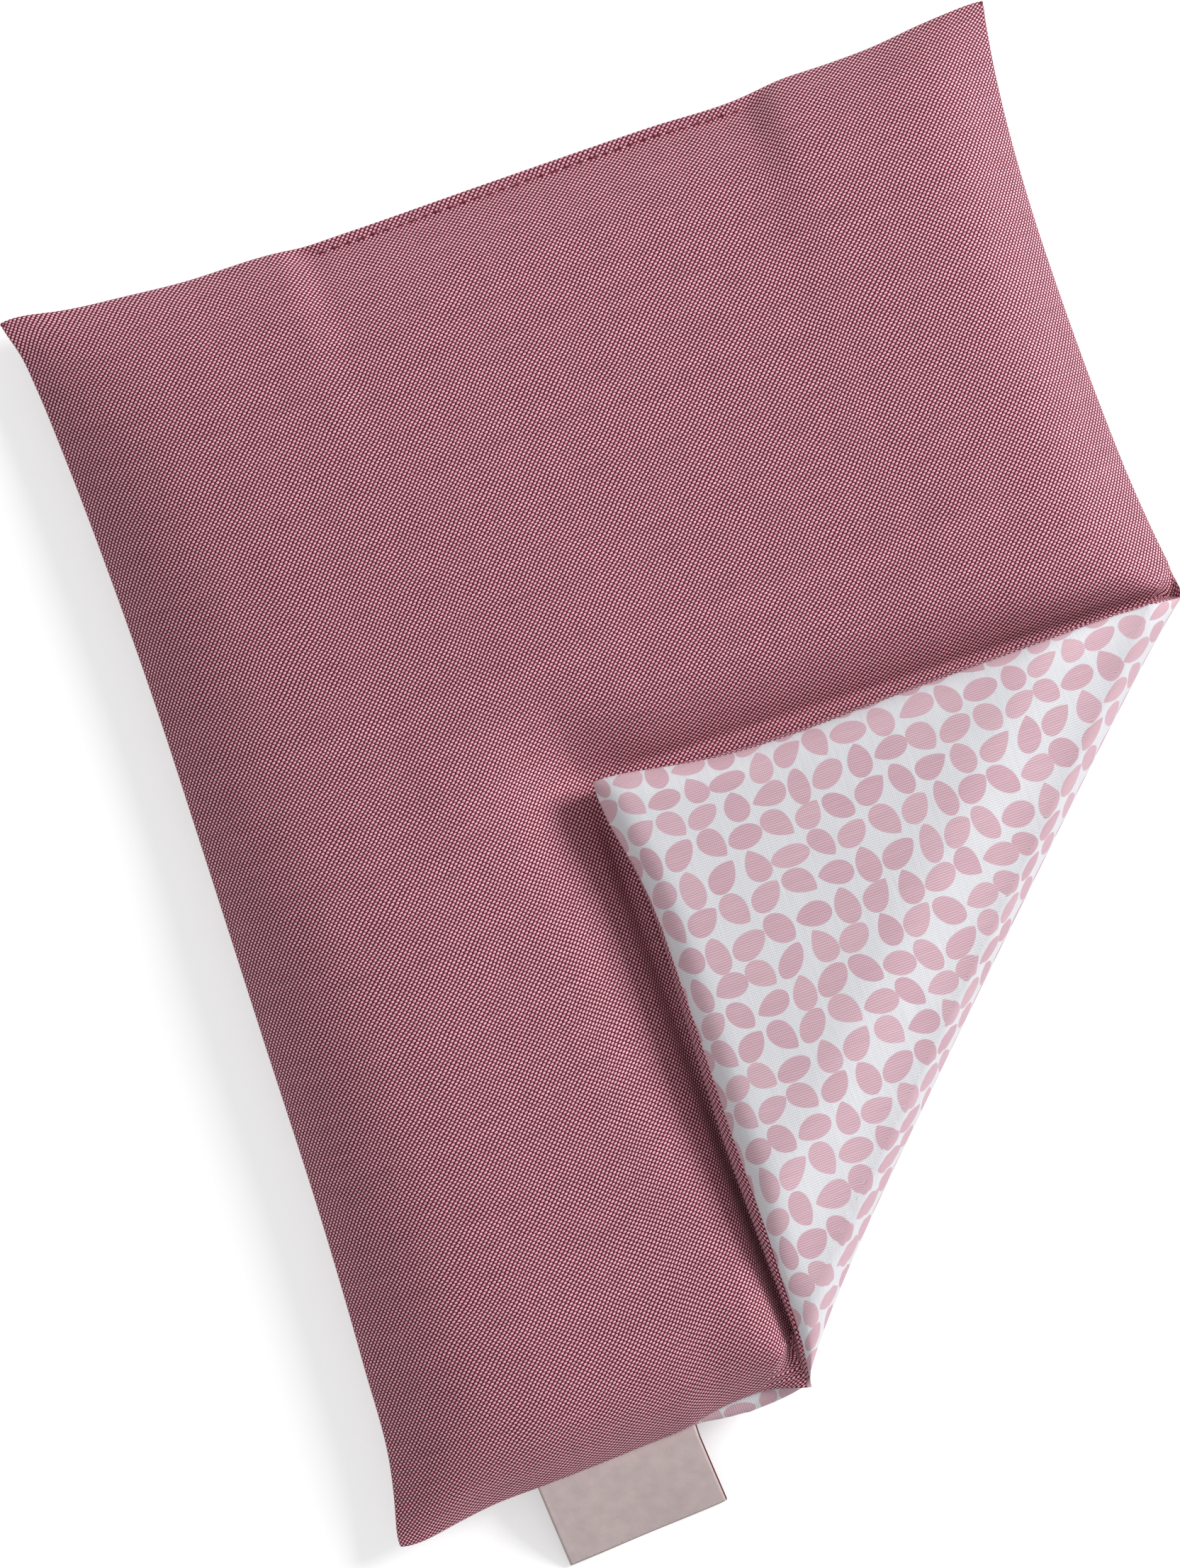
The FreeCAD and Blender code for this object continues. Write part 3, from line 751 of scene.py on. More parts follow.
def petal_group():
    """Scattered seed shapes, each with one round and one pointed end. They lie
    like a loose basket weave: one set lengthwise, a set between them crosswise."""
    group, given, result = node_group(
        "scattered_petals",
        (("Cloth", "NodeSocketVector", None),
         ("Spacing", "NodeSocketFloat", PETAL_SPACING)),
        (("Petal", "NodeSocketFloat"), ("Tone", "NodeSocketFloat")))
    tree = group
    # in lattice units, drifting a little so that no rows show
    spread = vectors(tree, "SCALE", given.outputs["Cloth"],
                     scale=maths(tree, "DIVIDE", CHART, given.outputs["Spacing"]))
    drift = noise(tree, spread, PETAL_DRIFT_SCALE, 1.0, out="Color")
    ground = vectors(tree, "MULTIPLY_ADD", drift, (1, 1, 0), spread)
    masks, tones = [], []
    for shift, base in ((0, PETAL_TURN), (0.5, PETAL_TURN + math.pi / 2)):
        # every other cell of a chequered cloth is a square lattice turned 45 degrees
        lattice = vectors(tree, "SCALE", turned(tree, ground, math.pi / 4), scale=HALF_ROOT)
        lattice = vectors(tree, "ADD", lattice, (shift, shift, 0))
        cell = vectors(tree, "FLOOR", lattice)
        local = vectors(tree, "SUBTRACT", vectors(tree, "SUBTRACT", lattice, cell),
                        (0.5, 0.5, 0))
        # each petal's own chances: where it lies, which way it points, its point and tone
        chance = tree.nodes.new("ShaderNodeTexWhiteNoise")
        chance.noise_dimensions = "3D"
        draw = (PETAL_DRAW[0], PETAL_DRAW[1], PETAL_DRAW[2] * base)
        tree.links.new(vectors(tree, "ADD", cell, draw), chance.inputs["Vector"])
        pick = tree.nodes.new("ShaderNodeSeparateColor")
        tree.links.new(chance.outputs["Color"], pick.inputs[0])
        jitter = vectors(tree, "MULTIPLY_ADD", chance.outputs["Color"],
                         (PETAL_JITTER, PETAL_JITTER, 0),
                         (-PETAL_JITTER / 2, -PETAL_JITTER / 2, 0))
        local = vectors(tree, "SUBTRACT", local, jitter)
        about = maths(tree, "MULTIPLY", maths(tree, "GREATER_THAN", pick.outputs[0], 0.5),
                      math.pi)
        swing = maths(tree, "MULTIPLY_ADD", chance.outputs["Value"], PETAL_SWING,
                      base - PETAL_SWING / 2 - math.pi / 4)
        place = tree.nodes.new("ShaderNodeSeparateXYZ")
        tree.links.new(turned(tree, local, maths(tree, "ADD", about, swing)),
                       place.inputs[0])
        along = maths(tree, "MULTIPLY", place.outputs[0], 1 / HALF_ROOT / PETAL_HALVES[0])
        along = maths(tree, "MAXIMUM", maths(tree, "MINIMUM", along, 1.0), -1.0)
        beside = maths(tree, "MULTIPLY", maths(tree, "ABSOLUTE", place.outputs[1]),
                       1 / HALF_ROOT / PETAL_HALVES[1])
        sharp = maths(tree, "MULTIPLY_ADD", pick.outputs[1], PETAL_SHARPER, PETAL_SHARP)
        point = maths(tree, "POWER", maths(tree, "SUBTRACT", 1.0, along), sharp)
        round_end = maths(tree, "POWER", maths(tree, "ADD", 1.0, along), PETAL_ROUND)
        width = maths(tree, "MULTIPLY", point, round_end)
        masks.append(remap(tree, maths(tree, "SUBTRACT", width, beside), *PETAL_EDGE,
                           smooth=True))
        tones.append(maths(tree, "MULTIPLY", pick.outputs[2], masks[-1]))
    tree.links.new(maths(tree, "MAXIMUM", *masks), result.inputs["Petal"])
    tree.links.new(maths(tree, "MAXIMUM", *tones), result.inputs["Tone"])
    return group


printed, tree, shader, chart = cloth_material("printed_cotton")
# this cloth is cut with its weft running the length of the bag
apart = tree.nodes.new("ShaderNodeSeparateXYZ")
crosswise = tree.nodes.new("ShaderNodeCombineXYZ")
tree.links.new(chart, apart.inputs[0])
tree.links.new(apart.outputs[0], crosswise.inputs[1])
tree.links.new(apart.outputs[1], crosswise.inputs[0])
threads = pattern(tree, plain_weave, crosswise.outputs[0],
                  Weft_Pitch=PRINT_WEFT, Warp_Pitch=PRINT_WARP, Slub=PRINT_SLUB)
petals = pattern(tree, petal_group(), chart)
ink = tinted(tree, mixed(tree, petals["Tone"], *PETAL_PINKS), threads["Weft Tone"])
ground = tinted(tree, PRINT_WHITE, threads["Warp Tone"])
face = mixed(tree, petals["Petal"], ground, ink)
# painted shade between the threads, by each thread's height
face = tinted(tree, face, remap(tree, threads["Height"], *PRINT_SHADE))
# painted shade in the gaps between its rows of thread and in its holes, darkest where it is
# printed
showing = maths(tree, "MULTIPLY_ADD", petals["Petal"], PRINTED_MORE, PLAIN_SHOWN)
for gap, shown, shadow in (("Between Rows", ROWS_SHOWN, ROW_SHADOW),
                           ("Hole", HOLES_SHOWN, HOLE_SHADOW)):
    dark = maths(tree, "MULTIPLY", remap(tree, threads[gap], *shown), showing)
    face = mixed(tree, dark, face, shadow)
tree.links.new(face, shader.inputs["Base Color"])
shader.inputs["Roughness"].default_value = 0.8
shader.inputs["Specular IOR Level"].default_value = 0.25
shader.inputs["Sheen Weight"].default_value = 0.08
raised(tree, shader, threads["Height"], 0.22, PRINT_RISE)

back_cover.data.materials.append(printed)
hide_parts("back_panel")
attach(back_cover, "pillow")


# ---- Folded corner: the lower right corner of the same bag, turned over on to the
# front, so its print side lies up and its melange side down. Its two sewn edges
# meet at the tip, and the melange rolls out past the seam near the fold.
FLAP_SEAM = 20.5  # its seam's height, the same near the crease, and its top
FLAP_FOLD_SEAM = 16.7
FLAP_TOP = 25.0
FLAP_TURN = 5.2  # how far in from a seam it comes up to its top
FLAP_EDGE_DROP = 4.2  # how far its underside drops from the seam at once
TIP_ROUNDING = 0.6
FLAP_BED = 13.2  # its underside
TOP_DIRECTION = (FLAP_RIGHT - FLAP_TIP) / np.linalg.norm(FLAP_RIGHT - FLAP_TIP)
SIDE_DIRECTION = (FLAP_BOTTOM - FLAP_TIP) / np.linalg.norm(FLAP_BOTTOM - FLAP_TIP)
# how far the sewn edges are drawn in, and how far the melange rolls out past them
TOP_DRAW = ((0, 0.0), (6, 0.5), (12, 1.3), (24, 2.3), (36, 2.3), (48, 1.7), (60, 1.1),
            (72, 0.5), (84, 0.1), (96, -0.1), (108, 0.0), (120, 0.0))
SIDE_DRAW = ((0, 0.0), (8, 0.4), (18, 1.8), (25, 2.1), (40, 1.2), (55, 0.3), (65, -0.2),
             (80, -0.4), (100, -0.3), (114, 0.0), (125, 0.0))
TOP_ROLL = ((0, 0.0), (12, 0.3), (24, 0.8), (36, 0.9), (60, 0.9), (80, 1.0), (95, 0.7),
            (112, 0.5))
SIDE_ROLL = ((0, 0.0), (20, 0.6), (30, 1.0), (40, 1.5), (65, 2.1), (85, 2.1), (102, 1.3),
             (118, 0.8))
ROLL_TURN = ((0, 0.35, 0.8, 1.4, 2.2, 3.2, 4.4, 5.8), (3.4, 1.9, 0.7, 0.0, 0.6, 1.9, 3.6, 5.8))
ROLL_FULL = 3  # a roll this wide follows that turn all the way
DRAW_REACH, TIP_REACH = 30, 2.5  # how far in from the edges and the tip they are felt
FLAP_CURVE = 2.4  # how full the corner's edges turn over
FLAP_SINK = 1.6  # how far it sinks towards the crease
SINK_START = -16
UNDER_TURN = 6.5  # its underside comes to the bed this far in
UNDER_EDGE = 1.4
FOLD_TURN = 29.0  # cloth taken up round the fold
FLAP_SPREAD = ((0, 1, 3, 8, 16), (3.2, 2.0, 1.1, 0.35, 0))  # cloth that stands at a seam
FLAP_REACH = 150  # of the grid, in from the tip, to well past the crease


def from_crease(s, out):
    """The place at these distances along the crease and out past it."""
    return (HINGE[0] + s * ALONG[0] + out * OUTWARDS[0],
            HINGE[1] + s * ALONG[1] + out * OUTWARDS[1])


def flap_seam_height(x, y):
    return FLAP_SEAM - (FLAP_SEAM - FLAP_FOLD_SEAM) * ramp(
        across(x, y)[1], SINK_START, SPLIT)


def rolled_in(a, roll):
    """The underside's edge: from the seam it bulges out by the roll, then under."""
    share = np.clip(roll / ROLL_FULL, 0, 1)
    over = np.interp(a, *ROLL_TURN) + np.maximum(a - ROLL_TURN[0][-1], 0)
    return (1 - share) * tucked(a) + share * over


def flap_plan(a, b, from_side, from_top, side_in, top_in):
    """Plan of a point a mm along the top edge and b mm down the side edge: how far
    its cloth lies in from each, and how far each is drawn in."""
    near = TIP_ROUNDING * np.exp(-(a + b) / TIP_REACH)
    along_top = from_side + side_in * np.exp(-a / DRAW_REACH) + near
    down_side = from_top + top_in * np.exp(-b / DRAW_REACH) + near
    spot = (FLAP_TIP + along_top[..., None] * TOP_DIRECTION
            + down_side[..., None] * SIDE_DIRECTION)
    return spot[..., 0], spot[..., 1]


def unrolled(x, y, a, b):
    """Where the corner's cloth lies when it is turned back and laid flat."""
    s, out = across(x, y)
    u, v = from_crease(s, SPLIT + FOLD_TURN + (SPLIT - out))
    return u + np.interp(b, *FLAP_SPREAD), v - np.interp(a, *FLAP_SPREAD)


def corner_back_place(a, b):
    """The corner's upper side: the print, round up from the seam and nearly flat."""
    x, y = flap_plan(a, b, tucked(a), tucked(b),
                     through(SIDE_DRAW, b) + through(SIDE_ROLL, b),
                     through(TOP_DRAW, a) + through(TOP_ROLL, a))
    share = 1
    for inside in (a, b):
        turn = 1 - np.clip(inside ** 2 / (inside + SEAM_PINCH) / FLAP_TURN, 0, 1)
        share = share * (1 - turn ** FLAP_CURVE) ** 0.5
    sunk = FLAP_SINK * ramp(across(x, y)[1], SINK_START, SPLIT)
    z = flap_seam_height(x, y) + (FLAP_TOP - FLAP_SEAM) * share - sunk * share
    return np.dstack((x, y, z)), np.dstack(unrolled(x, y, a, b))


def corner_front_place(a, b):
    """The corner's underside: the melange, rolled out at the seam, down to its bed."""
    x, y = flap_plan(a, b, rolled_in(a, through(SIDE_ROLL, b)),
                     rolled_in(b, through(TOP_ROLL, a)),
                     through(SIDE_DRAW, b), through(TOP_DRAW, a))
    z = flap_seam_height(x, y) - FLAP_EDGE_DROP
    low_a, low_b = (1 - np.clip(inside / UNDER_TURN, 0, 1) for inside in (a, b))
    z = z - (z - FLAP_BED) * (np.sqrt(1 - low_a ** 2) * np.sqrt(1 - low_b ** 2))
    climb = np.maximum(*(np.clip(1 - inside / UNDER_EDGE, 0, 1) for inside in (a, b)))
    z = z + FLAP_EDGE_DROP * (1 - (1 - climb) ** 2) ** 0.5
    points = np.dstack((x, y, z))
    return points, np.dstack((CUT_WIDTH - cloth_lengths(points, 0),
                              cloth_lengths(points, 1)))


flap_lines = panel_lines(FLAP_REACH)
corner_back_grid = panel_grid(flap_lines, flap_lines, corner_back_place)
cut_at_crease(corner_back_grid)
corner_back_cover = finish_cloth(corner_back_grid, "corner_back_cover", flip=True)
corner_back_cover.data.materials.append(printed)
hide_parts("corner_back_panel", "corner_seed_filling")
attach(corner_back_cover, "folded_corner")

corner_front_grid = panel_grid(flap_lines, flap_lines, corner_front_place)
cut_at_crease(corner_front_grid)
corner_front_cover = finish_cloth(corner_front_grid, "corner_front_cover")
corner_front_cover.data.materials.append(melange)
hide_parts("corner_front_panel")
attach(corner_front_cover, "folded_corner")


# ---- Fold: the same two cloths where they turn over. The print goes round the
# outside from the table to the top of the corner; the melange lies in the crease.
# Its edges are the very edges of the four panels that it joins.
AT_SPLIT = 0.02  # points this near the parting line lie on it


def points_of(piece):
    """A piece's points in mm, how far each is along the crease, and if it is on the
    line where the cloth is parted."""
    points = np.array([v.co for v in piece.data.vertices]) / MM
    s, out = across(points[:, 0], points[:, 1])
    return points, s, np.abs(out - SPLIT) < AT_SPLIT


def walked(edges, s):
    """The points of an open line of edges, from its end lowest along the crease."""
    beside = {}
    for a, b in edges:
        beside.setdefault(a, []).append(b)
        beside.setdefault(b, []).append(a)
    walk = [min((i for i in beside if len(beside[i]) == 1), key=lambda i: s[i])]
    seen = set(walk)
    while onward := [i for i in beside[walk[-1]] if i not in seen]:
        walk.append(onward[0])
        seen.add(onward[0])
    return walk


def run_along(path):
    """Running length at each point of a path."""
    steps = np.linalg.norm(np.diff(path, axis=0), axis=1)
    return np.concatenate(((0,), np.cumsum(steps)))


def crease_line(piece):
    """The panel's edge at the crease, walked from the lower end to the upper:
    run of cloth, along, height and place in the cloth."""
    points, s, on_line = points_of(piece)
    mesh = piece.data
    chart = {}
    for loop, uv in zip(mesh.loops, mesh.uv_layers["cloth"].data):
        chart.setdefault(loop.vertex_index, tuple(uv.uv))
    walk = walked([edge.vertices for edge in mesh.edges
                   if all(on_line[i] for i in edge.vertices)], s)
    run = run_along(np.column_stack((s[walk], points[walk, 2])))
    return np.column_stack((run / run[-1], s[walk], points[walk, 2],
                            [chart[i] for i in walk]))


FOLD_TIPS = ((-76.8, 7.2, 13.0), (76.6, 4.8, 13.0))  # along, out, height
GROOVE = ((-71.0, 0.085), (74.3, 0.065))  # where it ends along, share of the run
GROOVE_HEIGHTS = (12.6, 11.0)
GROOVE_MIDDLE, GROOVE_IN = 12.9, 0.05
GROOVE_CURVE, GROOVE_FADE, GROOVE_TIP = 0.8, 1.6, 4
FOLD_REACH = 3.5  # how far the outer cloth comes out past the parting line
TIP_SLIDE, TIP_FADE, TIP_POINT = 0.03, 0.10, 0.025  # how soon it leaves the tips
SEAM_PART = (0.3, 0.7)  # the melange's chart changes over from one seam to the other
# the grid's lines along the crease, closest at the tips, and round the turn
ENDS = np.concatenate((np.linspace(0, 0.02, 15)[:-1], np.linspace(0.02, 0.14, 25)[:-1]))
STATIONS = np.concatenate((ENDS, np.linspace(0.14, 0.86, 92)[:-1], 1 - ENDS[::-1]))
TURNS = np.concatenate((np.linspace(0, 0.46, 12), (0.4985, 0.5015), np.linspace(0.54, 1, 12)))


def fold_piece(name, lower, upper, turn, flip, along_seams):
    """Cloth from one crease line out round the fold to the other. At its two
    ends it comes to a point, where the seam itself turns over."""
    low, high = crease_line(lower), crease_line(upper)

    def place(k, f):
        s_low, z_low, *uv_low = (np.interp(k, low[:, 0], low[:, i]) for i in (1, 2, 3, 4))
        s_high, z_high, *uv_high = (np.interp(k, high[:, 0], high[:, i])
                                    for i in (1, 2, 3, 4))
        s_turn, out_turn, z_turn, pointed = turn(k, s_low, s_high)
        lead = 1 - abs(2 * f - 1)
        s = np.where(f < 0.5, s_low, s_high) * (1 - lead) + s_turn * lead
        out = SPLIT + (out_turn - SPLIT) * (
            pointed * lead + (1 - pointed) * np.sin(np.pi * f))
        ease = (1 - np.cos(np.pi * lead)) / 2
        z = pointed * (np.where(f < 0.5, z_low, z_high) * (1 - ease) + z_turn * ease) + (
            1 - pointed) * (z_low + (z_high - z_low) * (1 - np.cos(np.pi * f)) / 2)
        points = np.dstack((*from_crease(s, out), z))
        if along_seams:
            # the melange's threads run on beside the seam, up to the turn and back
            run = cloth_lengths(points, 0)
            run = np.where(f < 0.5, run, run - run[-1:, :])
            way = ramp(k, *SEAM_PART)
            uv = [np.where(f < 0.5, a, b) * CHART + run * d for a, b, d in
                  zip(uv_low, uv_high, (1 - way, -way))]
        else:
            uv = [a * CHART * (1 - f) + b * CHART * f for a, b in zip(uv_low, uv_high)]
        return points, np.dstack(uv)

    return finish_cloth(panel_grid(STATIONS, TURNS, place), name, flip=flip, levels=0)


def outer_turn(k, s_low, s_high):
    """The print's turn: out past the crease, and to a point at its two tips."""
    middle = (s_low + s_high) / 2
    s, reach = middle, FOLD_REACH
    for tip, off in zip(FOLD_TIPS, (k, 1 - k)):
        s = s + (tip[0] - middle) * np.exp(-off / TIP_SLIDE)
        reach = reach + (tip[1] - SPLIT - FOLD_REACH) * np.exp(-off / TIP_FADE)
    return s, SPLIT + reach, FOLD_TIPS[0][2], np.exp(-np.minimum(k, 1 - k) / TIP_POINT)


def inner_turn(k, s_low, s_high):
    """The melange's turn: close in the crease, and out to the tips at its ends."""
    s, out, z, pointed = (s_low + s_high) / 2, SPLIT + GROOVE_IN, GROOVE_MIDDLE, 0
    for tip, (groove_end, share), deep, off in zip(FOLD_TIPS, GROOVE, GROOVE_HEIGHTS,
                                                   (k, 1 - k)):
        t = np.clip(off / share, 0, 1) ** GROOVE_CURVE
        near = 1 - ramp(off, share, share * GROOVE_FADE)
        s = s * (1 - near) + near * (tip[0] + (groove_end - tip[0]) * t)
        out = out + (tip[1] - SPLIT - GROOVE_IN) * (1 - t)
        at_tip = 1 - np.clip(t * GROOVE_TIP, 0, 1)
        z = z * (1 - near) + near * (deep + (tip[2] - deep) * at_tip)
        pointed = pointed + near
    return s, out, z, pointed


fold_back_cover = fold_piece("fold_back_cover", back_cover, corner_back_cover,
                             outer_turn, flip=False, along_seams=False)
fold_front_cover = fold_piece("fold_front_cover", front_cover, corner_front_cover,
                              inner_turn, flip=True, along_seams=True)
for piece, material, slot in ((fold_back_cover, printed, "printed_cotton"),
                              (fold_front_cover, melange, "melange_cotton")):
    piece.data.materials.append(material)
    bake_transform(piece)
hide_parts("fold_back_panel")


# ---- Crease lining: inside the crease the melange hangs down a little from the
# front panel's edge, as a narrow strip. It closes the two ends of the crease when
# the corner is turned out.
LINING_LOW = 9.5
LINING_HOLLOW = 0.3
LINING_STATIONS, LINING_ROWS = np.linspace(0.004, 0.996, 160), np.linspace(0, 1, 9)
crease_high = crease_line(front_cover)


def lining_place(k, f):
    s, height = (np.interp(k, crease_high[:, 0], crease_high[:, i]) for i in (1, 2))
    z = LINING_LOW * (1 - f) + np.maximum(height, LINING_LOW) * f
    x, y = from_crease(s, SPLIT - LINING_HOLLOW * np.sin(np.pi * f))
    return np.dstack((x, y, z)), np.dstack((s, z))


crease_lining = finish_cloth(panel_grid(LINING_STATIONS, LINING_ROWS, lining_place),
                             "crease_lining", levels=0)
crease_lining.data.materials.append(melange)
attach(crease_lining, "pillow")


# ---- Woven label: a satin ribbon folded in half, its cut ends sewn into the lower
# seam a little askew. It hangs from under the pillow's edge down to the table; the
# wine red back of the ribbon shows as a fine line along one side.
LABEL_ROOT = -111.37
LABEL_LEFT, LABEL_WIDTH, LABEL_LEAN = -65.6, 29.8, 1.0
LABEL_LENGTHS = (16.7, 14.6)  # outside the seam, at its left and right sides
LABEL_TAIL = 6.0  # inside the seam
LABEL_HEIGHT, FOLD_HEIGHT = 7.0, 0.42  # of its root, and of its folded end
LEAF_GAP, LEAF_FOLD = 0.28, 14  # between the leaves, and how tight they are folded
TAIL_DIP = 0.3
HANG_STRAIGHT, HANG_CURVE = 0.35, 1.7  # part of it falls straight, the rest in a curve
LABEL_WAVE, WAVES, WAVE_START = 0.25, 2.6, 0.7
BACK_SHOWS = 0.25  # the lower leaf lies this far out at the right
LOWEST_LEAF, NEXT_LEAF = 0.15, 0.2  # above the table
TWILL_LEAN, TWILL_START = 1.6, 0.1  # how the chart lies on the ribbon
RIBBON_STEPS = (30, 84)
RIBBON_THICKNESS = 0.22


def label_place(k, t):
    """A point of the ribbon, k across it and t from the lower leaf's end, -1, round
    the fold to the upper leaf's end, 1, and its place in the cloth."""
    share = 1 - abs(t)
    upper = t > 0
    leaf = 1 if upper else -1
    length = LABEL_LENGTHS[0] + (LABEL_LENGTHS[1] - LABEL_LENGTHS[0]) * k
    run = share * (LABEL_TAIL + length)
    half_gap = LEAF_GAP / 2 * math.sqrt(max(1 - share ** LEAF_FOLD, 0)) * leaf
    hung = max(run - LABEL_TAIL, 0) / length
    fall = LABEL_HEIGHT - FOLD_HEIGHT
    level = math.sqrt(length ** 2 - fall ** 2) * hung
    wave = LABEL_WAVE * math.sin(WAVES * math.pi * k + WAVE_START) * hung ** 2
    z = (LABEL_HEIGHT - TAIL_DIP * (1 - min(run / LABEL_TAIL, 1))
         - fall * (HANG_STRAIGHT * hung + (1 - HANG_STRAIGHT) * hung ** HANG_CURVE)
         + half_gap + wave)
    x = LABEL_LEFT + LABEL_WIDTH * k + LABEL_LEAN * hung + (BACK_SHOWS * k if t < 0 else 0)
    spot = (x, LABEL_ROOT + max(LABEL_TAIL - run, 0) - level,
            max(z, LOWEST_LEAF + (NEXT_LEAF if upper else 0)))
    return spot, (LABEL_WIDTH * k - TWILL_LEAN * hung, (run + TWILL_START) * leaf)


ribbon = bmesh.new()
bmesh.ops.create_grid(ribbon, x_segments=RIBBON_STEPS[0], y_segments=RIBBON_STEPS[1],
                      size=1)
layer = ribbon.loops.layers.uv.new("cloth")
for vert in ribbon.verts:
    spot, chart = label_place((vert.co.x + 1) / 2, vert.co.y)
    vert.co = Vector(spot) * MM
    for loop in vert.link_loops:
        loop[layer].uv = (chart[0] / CHART, chart[1] / CHART)
woven_label = finish_cloth(ribbon, "woven_label")
thick = woven_label.modifiers.new("thick", "SOLIDIFY")
thick.thickness = RIBBON_THICKNESS * MM
thick.offset = 0

RIBBON_FACE, RIBBON_LINE = linear(229, 211, 209), linear(194, 176, 175)
RIBBON_SELVEDGE, SELVEDGE = linear(216, 199, 197), 0.5
RIBBON_BACK = linear(96, 22, 40)
TWILL_PITCH, TWILL_SLANT = 0.3, 0.3
TWILL_RISE = 0.05
HALF_BLUR = 0.05  # of the line between two colours
RIBBON_TONES, RIBBON_MOTTLE = (0.3, 0.7, 0.92, 1.04), 40.0
ribbon_material, tree, shader, chart = cloth_material("woven_ribbon")


def satin_group():
    """Satin ribbon: fine slanting twill, a plain selvedge and a wine red back."""
    group, given, result = node_group(
        "satin_ribbon",
        (("Cloth", "NodeSocketVector", None), ("Width", "NodeSocketFloat", LABEL_WIDTH),
         ("Twill", "NodeSocketFloat", TWILL_PITCH)),
        (("Line", "NodeSocketFloat"), ("Selvedge", "NodeSocketFloat"),
         ("Back", "NodeSocketFloat"), ("Tone", "NodeSocketFloat")))
    tree, cloth = group, given.outputs["Cloth"]
    u, v = in_mm(tree, cloth)
    slant = maths(tree, "DIVIDE",
                  maths(tree, "ADD", maths(tree, "MULTIPLY", u, TWILL_SLANT), v),
                  given.outputs["Twill"])
    side = maths(tree, "MINIMUM", u, maths(tree, "SUBTRACT", given.outputs["Width"], u))
    for label, value in (
            ("Line", sawtooth(tree, slant)),
            ("Selvedge", remap(tree, side, SELVEDGE + HALF_BLUR, SELVEDGE - HALF_BLUR)),
            ("Back", remap(tree, v, HALF_BLUR, -HALF_BLUR)),
            ("Tone", noise(tree, cloth, RIBBON_MOTTLE, 3.0))):
        tree.links.new(value, result.inputs[label])
    return group


satin = pattern(tree, satin_group(), chart)
colour = mixed(tree, satin["Line"], RIBBON_FACE, RIBBON_LINE)
colour = mixed(tree, satin["Selvedge"], colour, RIBBON_SELVEDGE)
colour = mixed(tree, satin["Back"], colour, RIBBON_BACK)
colour = tinted(tree, colour, remap(tree, satin["Tone"], *RIBBON_TONES))
tree.links.new(colour, shader.inputs["Base Color"])
shader.inputs["Roughness"].default_value = 0.42
shader.inputs["Specular IOR Level"].default_value = 0.35
raised(tree, shader, satin["Line"], 0.35, TWILL_RISE)

woven_label.data.materials.append(ribbon_material)
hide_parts("label", "label_tail")
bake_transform(woven_label)


# ---- Sewing thread: wine red polyester, two strands twisted. One line of stitches
# closes the seam all round; on the lip one row shows on top and one underneath.
STITCHES = 35  # on the lip
STITCH_PITCH = 2.4
STITCH_LENGTH = 1.9
THREAD = 0.34
THREAD_SIDES = 8
THREAD_END = 0.25  # over which it is drawn to nothing
SEAM_START, PATH_STEPS = 2.0, 6  # from its ends, and points to a stitch
SEAM_DIP, STITCH_DIP = 0.20, 0.12
STITCH_RISE = ((0, 0.68, 1.05), (0.34, 0.24, -0.5))  # from a stitch's middle to its ends
STITCH_OVER, STITCH_POINTS = 0.1, 11  # it goes this much further, down into its holes
EVERY_OTHER = 0.06
UNEVEN = ((-0.10, -0.12, 0.0), (0.10, 0.12, 0.08))  # least and most: aside, lean, sunk


def thread_piece(name, paths):
    """Round thread along each path of points, its ends drawn to nothing."""
    made = bmesh.new()
    layer = made.loops.layers.uv.new("cloth")
    for path in paths:
        path = np.array(path, float)
        first, count = len(made.verts), len(path)
        bmesh.ops.create_grid(made, x_segments=THREAD_SIDES, y_segments=count - 1, size=1)
        made.verts.ensure_lookup_table()
        ahead = np.gradient(path, axis=0)
        ahead /= np.linalg.norm(ahead, axis=1)[:, None]
        beside = np.cross(ahead, (0, 0, 1))
        beside /= np.linalg.norm(beside, axis=1)[:, None]
        up = np.cross(beside, ahead)
        run = run_along(path)
        thick = THREAD / 2 * np.clip(
            np.minimum(run, run[-1] - run) / THREAD_END, 0.02, 1) ** 0.5
        for i in range(count):
            for j in range(THREAD_SIDES + 1):
                turn = 2 * math.pi * (j % THREAD_SIDES) / THREAD_SIDES
                vert = made.verts[first + i * (THREAD_SIDES + 1) + j]
                vert.co = (path[i] + thick[i] * (math.cos(turn) * beside[i]
                                                 + math.sin(turn) * up[i])) * MM
                for loop in vert.link_loops:
                    loop[layer].uv = (run[i] / CHART, j / THREAD_SIDES / CHART)
    bmesh.ops.remove_doubles(made, verts=made.verts[:], dist=1e-7)
    bmesh.ops.recalc_face_normals(made, faces=made.faces[:])
    return finish_cloth(made, name, levels=0)


def seam_path(piece):
    """The sewn edge of a cover, walked from the fold's one end to its other."""
    points, s, on_line = points_of(piece)
    faces = {}
    for polygon in piece.data.polygons:
        for edge in polygon.edge_keys:
            faces[edge] = faces.get(edge, 0) + 1
    return points[walked([edge for edge, count in faces.items()
                          if count == 1 and not all(on_line[i] for i in edge)], s)]


